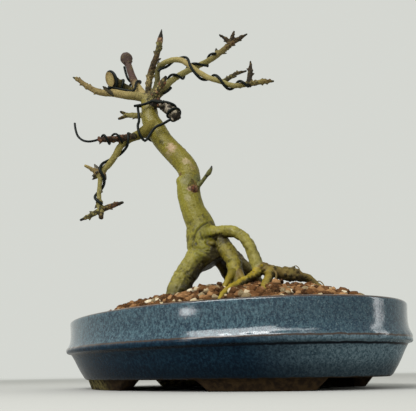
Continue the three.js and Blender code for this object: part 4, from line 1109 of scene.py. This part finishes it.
# Tones that the bark takes on over its own
BARK_GREY = (0.62, 0.60, 0.42)
BARK_PALE = (0.215, 0.190, 0.040)
BARK_PITS = (0.024, 0.020, 0.003)
BARK_STREAKS = (0.20, 0.170, 0.030)
SCALE_GAPS = (0.010, 0.007, 0.004)
bark = Shader("ash_bark")
tint = bark.add("ShaderNodeAttribute", attribute_name="bark_tone")
tone = tint.outputs["Color"]
knotty_share = tint.outputs["Alpha"]
mottling = bark.grain(8, detail=5, roughness=0.65)
grain = bark.grain(1.5, detail=6, roughness=0.7)
lines = bark.grain(1.1, detail=3, stretch=(0.25, 0.25, 1))
tone = bark.blend(bark.step(mottling, 0.35, 0.68, 0, 0.45), tone, BARK_GREY, "MULTIPLY")
tone = bark.blend(bark.step(bark.grain(12, detail=4), 0.52, 0.7, 0, 0.25), tone, BARK_PALE)
tone = bark.blend(bark.step(grain, 0.48, 0.80, 0, 0.55), tone, BARK_PITS)
tone = bark.blend(bark.step(lines, 0.55, 0.75, 0, 0.35), tone, BARK_STREAKS)
between = bark.step(bark.cells(2.6), 0.28, 0.55, 0, 0.85)
tone = bark.blend(bark.maths("MULTIPLY", between, bark.step(knotty_share, 0.7, 1.0)), tone, SCALE_GAPS)
rough_height = bark.maths("ADD", bark.maths("MULTIPLY", grain, 0.7), bark.maths("MULTIPLY", mottling, 0.5))
bark.relief(rough_height, 0.8, 0.9)
polish = bark.step(mottling, 0.3, 0.7, 0.34, 0.52)
rough = bark.maths("MAXIMUM", polish, bark.step(knotty_share, 0.45, 0.75, 0, 0.9))
coat_with(tree, bark.finish(tone, rough, Specular_IOR_Level=0.23))
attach(tree, "root")
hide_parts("tree")


# Training wire
# Soft anodised aluminium, wound round the branches by hand to hold their bends, with a few free
# lengths between them. Each length is one bent round bar.
WIRE_RADIUS = 1.28
TWIG_WIRE_RADIUS = 1.024
OFF_BARK = 1.45  # from the bark to the middle of the wire
TWIG_OFF_BARK = 1.25
TURN_STEP = 30  # the most from one point of a turn to the next, in degrees
CUT_RIM = (2.8, 6.4)  # station and radius of the rim round the sawn face
CUT_TURN_START = 40  # degrees past where it leaves the limb's own turns
CUT_TURN_STEP = 20
BEHIND_CUT = 1.7  # from the sawn face to the middle of the wire
WIRE_STEPS = 3  # from each point of its path to the next
WIRE_SIDES = 12

# How far the lumps of a limb's bark stand out, of its radius
LUMPINESS = {"trunk": 0.03, "knuckle": 0.13, "knot_twig": 0.16}
USUAL_LUMPINESS = 0.05


def wound(name, stops, off_bark=OFF_BARK):
    """Points of a wire wound on a limb through these stops of (station, degrees round it)."""
    stations = LIMBS[name]
    points = []
    for (start, start_turn), (end, end_turn) in zip(stops, stops[1:]):
        pieces = max(1, math.ceil(abs(end_turn - start_turn) / TURN_STEP))
        for k in range(1 if points else 0, pieces + 1):
            station = start + (end - start) * k / pieces
            turn = start_turn + (end_turn - start_turn) * k / pieces
            over = 1 + LUMPINESS.get(name, USUAL_LUMPINESS)
            distance = radius_at(stations, station) * over + off_bark
            points.append(tuple(beside_limb(stations, station, turn, distance)))
    return points


def beside_cut(first_turn, last_turn):
    """Points of a turn just behind the rim of the sawn face."""
    points = []
    station, rim_radius = CUT_RIM
    for turn in range(first_turn + CUT_TURN_START, last_turn + 1, CUT_TURN_STEP):
        beside = Vector(beside_limb(LIMBS["sawn_stub"], station, turn, rim_radius + OFF_BARK))
        reach = (CUT_NORMAL.dot(CUT_MIDDLE - beside) - BEHIND_CUT) / CUT_NORMAL.dot(CUT_AXIS)
        points.append(tuple(beside + CUT_AXIS * reach))
    return points


# Each wire's path: turns round limbs, and points of its free lengths
WIRES = {
    "wire_droop": [
        *wound("trunk", [(9.8, 125), (9.6, 190), (9.9, 262)]),
        *wound("droop", [(1.3, 150), (1.9, 80), (2.9, -90), (3.8, -180), (5, -270), (6, -350), (6.9, -450),
                         (7.5, -540), (8, -630), (8.7, -760)]),
    ],
    "wire_knuckle": [
        (-79.5, -20, 266.5), (-76.5, -22.3, 265.6), (-70.5, -23.2, 266.2), (-64.5, -23.7, 268),
        *wound("knuckle", [(0.55, 35), (1.2, 10), (2.1, -50), (2.45, -270), (2.68, -450), (2.85, -625)]),
        (-50, -29.5, 241), (-57, -29, 238), (-63, -28.5, 229.5), (-67, -29, 223.5), (-72, -32, 229.5),
        (-74, -31, 238.5), (-73.6, -27, 245.8), (-74.8, -24, 256.3),
        (-76.2, -19, 266), (-74, -12, 270.5), (-67, -4, 272),
    ],
    "wire_left": [
        *wound("left_branch", [(3.35, 20), (3.1, 80), (2.2, 92), (1.6, 95)]),
        *wound("knob_stub", [(0.8, 10), (1.3, 180), (1.65, 250), (2.2, 268), (2.75, 290)]),
    ],
    "wire_sawn": [*wound("sawn_stub", [(1.5, 60), (1.95, 300), (2.4, 540)]), *beside_cut(540, 860)],
    "wire_arch": wound(
        "arch_branch",
        [(1.7, 20), (2.3, 90), (3, 180), (4, 270), (5.6, 450), (6.3, 630), (7.6, 810), (8.3, 990), (9, 1150)],
    ),
    "wire_right": wound(
        "right_branch",
        [(0.9, 60), (1.7, 100), (2.4, 270), (3.2, 450), (4.2, 630), (5.4, 810), (5.9, 990), (6.2, 1090)],
    ),
    "wire_twig": [
        *wound("knot_twig", [(0.9, 100), (1.4, 290), (1.9, 480), (2.4, 670), (2.75, 850)], TWIG_OFF_BARK),
        (-114, -48, 214.5), (-121, -47, 216), (-126.5, -46, 221), (-129.5, -45, 228.5), (-131, -44, 235.5),
    ],
}
WIRE_BLACK = (0.003, 0.005, 0.004)
WIRE_RUBBED = (0.010, 0.015, 0.012)
anodised = Shader("dark_anodised_wire")
rubbed = anodised.grain(2.2, detail=5, roughness=0.7)
wire_tone = anodised.blend(anodised.step(rubbed, 0.5, 0.78), WIRE_BLACK, WIRE_RUBBED)
anodised.relief(rubbed, 0.08, 0.5)
wire_finish = anodised.finish(wire_tone, anodised.step(rubbed, 0.3, 0.7, 0.4, 0.6), Specular_IOR_Level=0.09)
for name, points in WIRES.items():
    radius = TWIG_WIRE_RADIUS if name == "wire_twig" else WIRE_RADIUS
    bends = bend_through(points, WIRE_STEPS)
    piece = round_bar(f"bent_{name}", bends, [radius] * len(bends), WIRE_SIDES)
    settle(piece, TREE_TURN)
    smooth_below(piece, 50)
    coat_with(piece, wire_finish)
    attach(piece, "root")
    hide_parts(name)


# Soil
# Baked clay granules of a few millimetres with some pumice, heaped under the tree. Loose granules
# lie all over a bed of crumbs, half sunk in it and leaning on the roots.
BED_DROP = 3  # how far the crumbs lie below the tops of the granules
BED_EDGE = 45  # only what lies higher than this is lowered
# The bed is near black, partly as painted shade between the granules, and darker still in the gaps between
# its crumbs: painted shade
BED_DARK = (0.016, 0.008, 0.004)
BED_BROWN = (0.045, 0.022, 0.010)
BED_GAPS = (0.008, 0.005, 0.003)
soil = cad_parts["soil"]
only(soil)
bpy.ops.object.duplicate()
crumb_bed = bpy.context.object
crumb_bed.name = "crumb_bed"
bed = Shader("soil_bed")
crumb = bed.cells(4.2)
crumb_fine = bed.grain(1.3, detail=5)
bed_shade = bed.blend(bed.grain(6, detail=4), BED_DARK, BED_BROWN)
# Painted shade in the gaps between the crumbs
bed_shade = bed.blend(bed.step(crumb, 0.25, 0.6), bed_shade, BED_GAPS)
bed.relief(bed.maths("SUBTRACT", crumb_fine, crumb), 1.2, 0.8)
coat_with(crumb_bed, bed.finish(bed_shade, 0.95, Specular_IOR_Level=0.06))

# How the granules lie
LEFT_RISE = 1.2  # a little higher at the pot's left end
LEFT_RISE_START = 20
RIGHT_DROP = 0.6  # and lower at its right end
RIGHT_DROP_START = 30
SLOPE_LENGTH = 60
ABOVE_SOIL = 0.2  # in metres
SOIL_LEVEL = 40  # no granule lies below this
SOIL_INSET = 9.2  # from the rim's outline to the edge of the bed
SOIL_HALF = (POT_HALF[0] - SOIL_INSET, POT_HALF[1] - SOIL_INSET)
SPACING = 4.3
ROW_PITCH = 0.866  # of the spacing, in a triangular net
JITTER = 0.42  # of the spacing, either way
EDGE_SHARE = 0.985  # how much of the bed they cover, from its middle out
PALE_SHARE = 0.15
ROOT_ROOM = 0.8  # the least from the middle of a granule to the bark
ROOTS_NEAR = 8
LEAST_SIZE = 1.5  # how small a granule may get beside a root
BROWN_SIZES = (1.6, 5.2, 2.7)  # half a granule's width: least, most and usual
PALE_SIZES = (1.5, 4.8, 2.5)
BROWN_SUNK = 0.5  # of that
PALE_SUNK = 0.45
SUNK_SPREAD = (0.75, 1.15)
ROUNDED = 0.78  # from a cube's shape to a ball's
CORNER_REACH = 1.15  # what a rounded cube's corners are divided by, to fit its size
random.seed(5)


def granule_shape(squash, roughness):
    """A rounded and uneven lump, as its corners and its faces."""
    select_none()
    bpy.ops.mesh.primitive_cube_add(size=2)
    stone = bpy.context.object
    edit_all()
    bpy.ops.mesh.subdivide(number_cuts=1)
    bpy.ops.transform.tosphere(value=ROUNDED)
    end_edit()
    corners = points_of(stone)
    corners *= 1 + roughness * np.array([random.uniform(-1, 1) for _ in corners])[:, None]
    corners *= np.array(squash)
    faces = np.array([face.vertices[:] for face in stone.data.polygons])
    bpy.data.objects.remove(stone)
    return corners / CORNER_REACH, faces


SHAPES = [
    granule_shape((1, 0.86, 0.74), 0.11),
    granule_shape((1, 0.92, 0.86), 0.13),
    granule_shape((1, 0.72, 0.66), 0.14),
    granule_shape((0.95, 0.9, 0.7), 0.18),
    granule_shape((1, 0.8, 0.8), 0.15),
]


def soil_top(x, y):
    above = Vector((POT_MIDDLE[0] + x * MM, POT_MIDDLE[1] + y * MM, ABOVE_SOIL))
    hit, place, _, _ = soil.ray_cast(above, Vector((0, 0, -1)))
    return place.z / MM if hit else 0


def room_by_roots(x, y, top):
    """The distance from a place on the soil to the nearest bark."""
    turn_cos, turn_sin = math.cos(TREE_TURN), math.sin(TREE_TURN)
    here = Vector((x * turn_cos + y * turn_sin, -x * turn_sin + y * turn_cos, top))
    near = bark_tree.find_n(here, ROOTS_NEAR)
    return min(distance - marks_on_bark[number][1] for _, number, distance in near)


def level_change(x):
    """How much higher the granules lie here than the soil's own top."""
    left_share = min(1, max(0, (-LEFT_RISE_START - x) / SLOPE_LENGTH))
    right_share = min(1, max(0, (x - RIGHT_DROP_START) / SLOPE_LENGTH))
    return LEFT_RISE * left_share - RIGHT_DROP * right_share


def scatter(name, places, sizes, sunk):
    """Granules of random shape and turn at these places, as one piece. Each has a shade of its own."""
    corners, faces, shades, heights, used = [], [], [], [], 0
    for x, y in places:
        top = soil_top(x, y)
        if top < SOIL_LEVEL:
            continue
        top += level_change(x)
        shape, quads = random.choice(SHAPES)
        size = random.triangular(*sizes)
        room = room_by_roots(x, y, top)
        if room < ROOT_ROOM:
            continue
        size = min(size, max(room, LEAST_SIZE))
        up = Vector([random.uniform(-1, 1) for _ in range(3)])
        spun = shape @ np.array(up.to_track_quat("Z", "Y").to_matrix()) * size
        corners.append(spun + np.array((x, y, top - size * sunk * random.uniform(*SUNK_SPREAD))))
        faces.append(quads + used)
        used += len(shape)
        shades.append(np.full(len(shape), random.random()))
        heights.append(spun[:, 2] / size)
    mesh = bpy.data.meshes.new(name)
    mesh.from_pydata(np.concatenate(corners), [], np.concatenate(faces).tolist())
    for layer, values in (("shade", shades), ("height", heights)):
        mesh.attributes.new(layer, "FLOAT", "POINT").data.foreach_set("value", np.concatenate(values))
    piece = bpy.data.objects.new(name, mesh)
    bpy.context.scene.collection.objects.link(piece)
    face_outwards(piece)
    settle(piece)
    smooth_below(piece, 56)
    return piece


def soil_places():
    """Places on a jittered triangular net over the oval bed."""
    rows = int(2 * SOIL_HALF[1] / (SPACING * ROW_PITCH)) + 2
    columns = int(2 * SOIL_HALF[0] / SPACING) + 2
    for row in range(rows):
        for column in range(columns):
            x = (column + 0.5 * (row % 2)) * SPACING - SOIL_HALF[0]
            x += random.uniform(-JITTER, JITTER) * SPACING
            y = row * SPACING * ROW_PITCH - SOIL_HALF[1] + random.uniform(-JITTER, JITTER) * SPACING
            if (x / SOIL_HALF[0]) ** 2 + (y / SOIL_HALF[1]) ** 2 < EDGE_SHARE ** 2:
                yield x, y


brown_places, pale_places = [], []
for place in soil_places():
    (pale_places if random.random() < PALE_SHARE else brown_places).append(place)
brown_granules = scatter("brown_granules", brown_places, BROWN_SIZES, BROWN_SUNK)
pale_granules = scatter("pale_granules", pale_places, PALE_SIZES, PALE_SUNK)


def granule_finish(name, shade_below, dark, middle, light):
    """Baked clay or pumice: each granule's own tone and dust, and painted shade on its lower part, where it
    lies in the bed.
    """
    look = Shader(name)
    shade = look.add("ShaderNodeAttribute", attribute_name="shade").outputs["Fac"]
    tone = look.blend(look.step(shade, 0.0, 0.6), dark, middle)
    tone = look.blend(look.step(shade, 0.6, 1.0), tone, light)
    dust = look.grain(1.1, detail=6, roughness=0.7)
    tone = look.blend(look.step(dust, 0.45, 0.75, 0, 0.55), tone, light)
    tone = look.blend(look.step(look.grain(2.4, detail=3), 0.5, 0.8, 0, 0.5), tone, dark)
    height = look.add("ShaderNodeAttribute", attribute_name="height").outputs["Fac"]
    # Painted shade, darker towards each granule's bottom
    tone = look.blend(look.step(height, -0.35, 0.45, 0.9, 0), tone, shade_below)
    look.relief(dust, 0.9, 1.0)
    return look.finish(tone, 0.95, Specular_IOR_Level=0.06)


# Painted shade for each granule's lower part, then dark, middling and light
CLAY = ((0.012, 0.006, 0.003), (0.028, 0.012, 0.005), (0.115, 0.050, 0.018), (0.330, 0.180, 0.078))
PUMICE = ((0.080, 0.052, 0.026), (0.17, 0.120, 0.058), (0.40, 0.310, 0.180), (0.66, 0.58, 0.42))
coat_with(brown_granules, granule_finish("brown_clay_granules", *CLAY))
coat_with(pale_granules, granule_finish("pumice", *PUMICE))
lowered = points_of(crumb_bed)
lowered[:, 2] -= BED_DROP * MM * np.clip((lowered[:, 2] / MM - BED_EDGE) / BED_DROP, 0, 1)
move_points(crumb_bed, lowered)
for piece in (crumb_bed, brown_granules, pale_granules):
    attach(piece, "root")
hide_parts("soil")


# Studio
# A pale floor in a pale room, with a large soft light from the upper left of the tree's front
# and a weak one from the right. The floor is painted paler far from the middle, to make up for the
# light falling off there. The glaze mirrors a skylight, a ceiling and windows, and the camera is low in
# front of the tree, looking up.
CAMERA_PLACE = (-7.89, -461.36, 11.87)  # right, away and up from the pot's middle, in millimetres
CAMERA_PITCH = 18.59  # degrees up
CAMERA_ROLL = -0.97
FOCAL_PIXELS = 500
IMAGE_WIDTH = 416
SENSOR = 36
FLOOR_RADIUS = 6  # in metres
FLOOR_FADE = (0.6, 3.5)  # from its near shade to its far one, in metres
FLOOR_NEAR = (0.44, 0.44, 0.42)
FLOOR_FAR = (0.93, 0.93, 0.92)
ROOM_SHADE = (0.665, 0.68, 0.64)
LIGHT_MIDDLE = 40  # the height that the lights are set out from
LIGHT_AIM = 60  # and the height that they point at


def from_front(right, away, up):
    """From millimetres as seen from the tree's front to metres in the part's own frame."""
    turn_cos, turn_sin = math.cos(TREE_TURN), math.sin(TREE_TURN)
    x = right * turn_cos - away * turn_sin
    y = right * turn_sin + away * turn_cos
    return Vector((POT_MIDDLE[0] + x * MM, POT_MIDDLE[1] + y * MM, up * MM))


select_none()
bpy.ops.mesh.primitive_circle_add(vertices=96, radius=FLOOR_RADIUS, fill_type="NGON")
floor = bpy.context.object
floor.name = "floor"
paper = Shader("pale_floor")
from_middle = paper.add("ShaderNodeVectorMath", operation="LENGTH")
paper.feed(from_middle.inputs[0], paper.place)
# Paler far away: painted light that makes up for the lamps' light falling off
paper_tone = paper.blend(paper.step(from_middle.outputs["Value"], *FLOOR_FADE), FLOOR_NEAR, FLOOR_FAR)
coat_with(floor, paper.finish(paper_tone, 1.0, Specular_IOR_Level=0.0))

world = bpy.data.worlds.new("pale_room")
world.use_nodes = True
background = world.node_tree.nodes["Background"]
background.inputs["Color"].default_value = (*ROOM_SHADE, 1)
background.inputs["Strength"].default_value = 1.0
bpy.context.scene.world = world
bpy.context.scene.view_settings.view_transform = "Standard"

# Degrees to the right of the tree's front, degrees up, distance, size, radiance, and whether each
# lights the scene (lit), shows as a reflection in the glaze (seen) or both
LIGHTS = {
    "key": (-34, 42, 1600, (1300, 700), 10, "lit and seen"),
    "side": (78, 20, 1700, (1000, 700), 3.2, "lit"),
    "skylight": (-38, 52, 1600, (900, 110), 22, "seen"),
    "ceiling": (4, 43, 1600, (640, 170), 6, "seen"),
    "window_left": (-45, -3.6, 390, (34, 30), 24, "seen"),
    "window_right": (63.7, 13.2, 592, (46, 340), 9, "seen"),
    "window_right_edge": (69, 13.2, 592, (26, 340), 6, "seen"),
}
for name, (turn, rise, distance, (wide, tall), radiance, work) in LIGHTS.items():
    turn, rise = math.radians(turn), math.radians(rise)
    level_distance = distance * math.cos(rise)
    right, away = level_distance * math.sin(turn), -level_distance * math.cos(turn)
    place = from_front(right, away, distance * math.sin(rise) + LIGHT_MIDDLE)
    bpy.ops.object.light_add(type="AREA", location=place)
    lamp = bpy.context.object
    lamp.name = name
    lamp.visible_camera = False
    lamp.visible_diffuse = "lit" in work
    lamp.visible_glossy = "seen" in work
    lamp.data.shape = "RECTANGLE"
    lamp.data.size, lamp.data.size_y = wide * MM, tall * MM
    lamp.data.energy = radiance * math.pi * wide * MM * tall * MM
    aim = from_front(0, 0, LIGHT_AIM) - lamp.location
    lamp.rotation_euler = aim.to_track_quat("-Z", "Y").to_euler()

bpy.ops.object.camera_add(location=from_front(*CAMERA_PLACE))
camera = bpy.context.object
camera.data.sensor_width = SENSOR
camera.data.lens = SENSOR * FOCAL_PIXELS / IMAGE_WIDTH
camera.data.clip_start = 0.01
camera.rotation_mode = "XYZ"
camera.rotation_euler = (math.radians(90 + CAMERA_PITCH), 0, TREE_TURN)
bpy.context.view_layer.update()
upright = camera.matrix_world.to_quaternion()
roll = Quaternion(upright @ Vector((0, 0, -1)), math.radians(-CAMERA_ROLL))
camera.rotation_euler = (roll @ upright).to_euler("XYZ")
bpy.context.scene.camera = camera
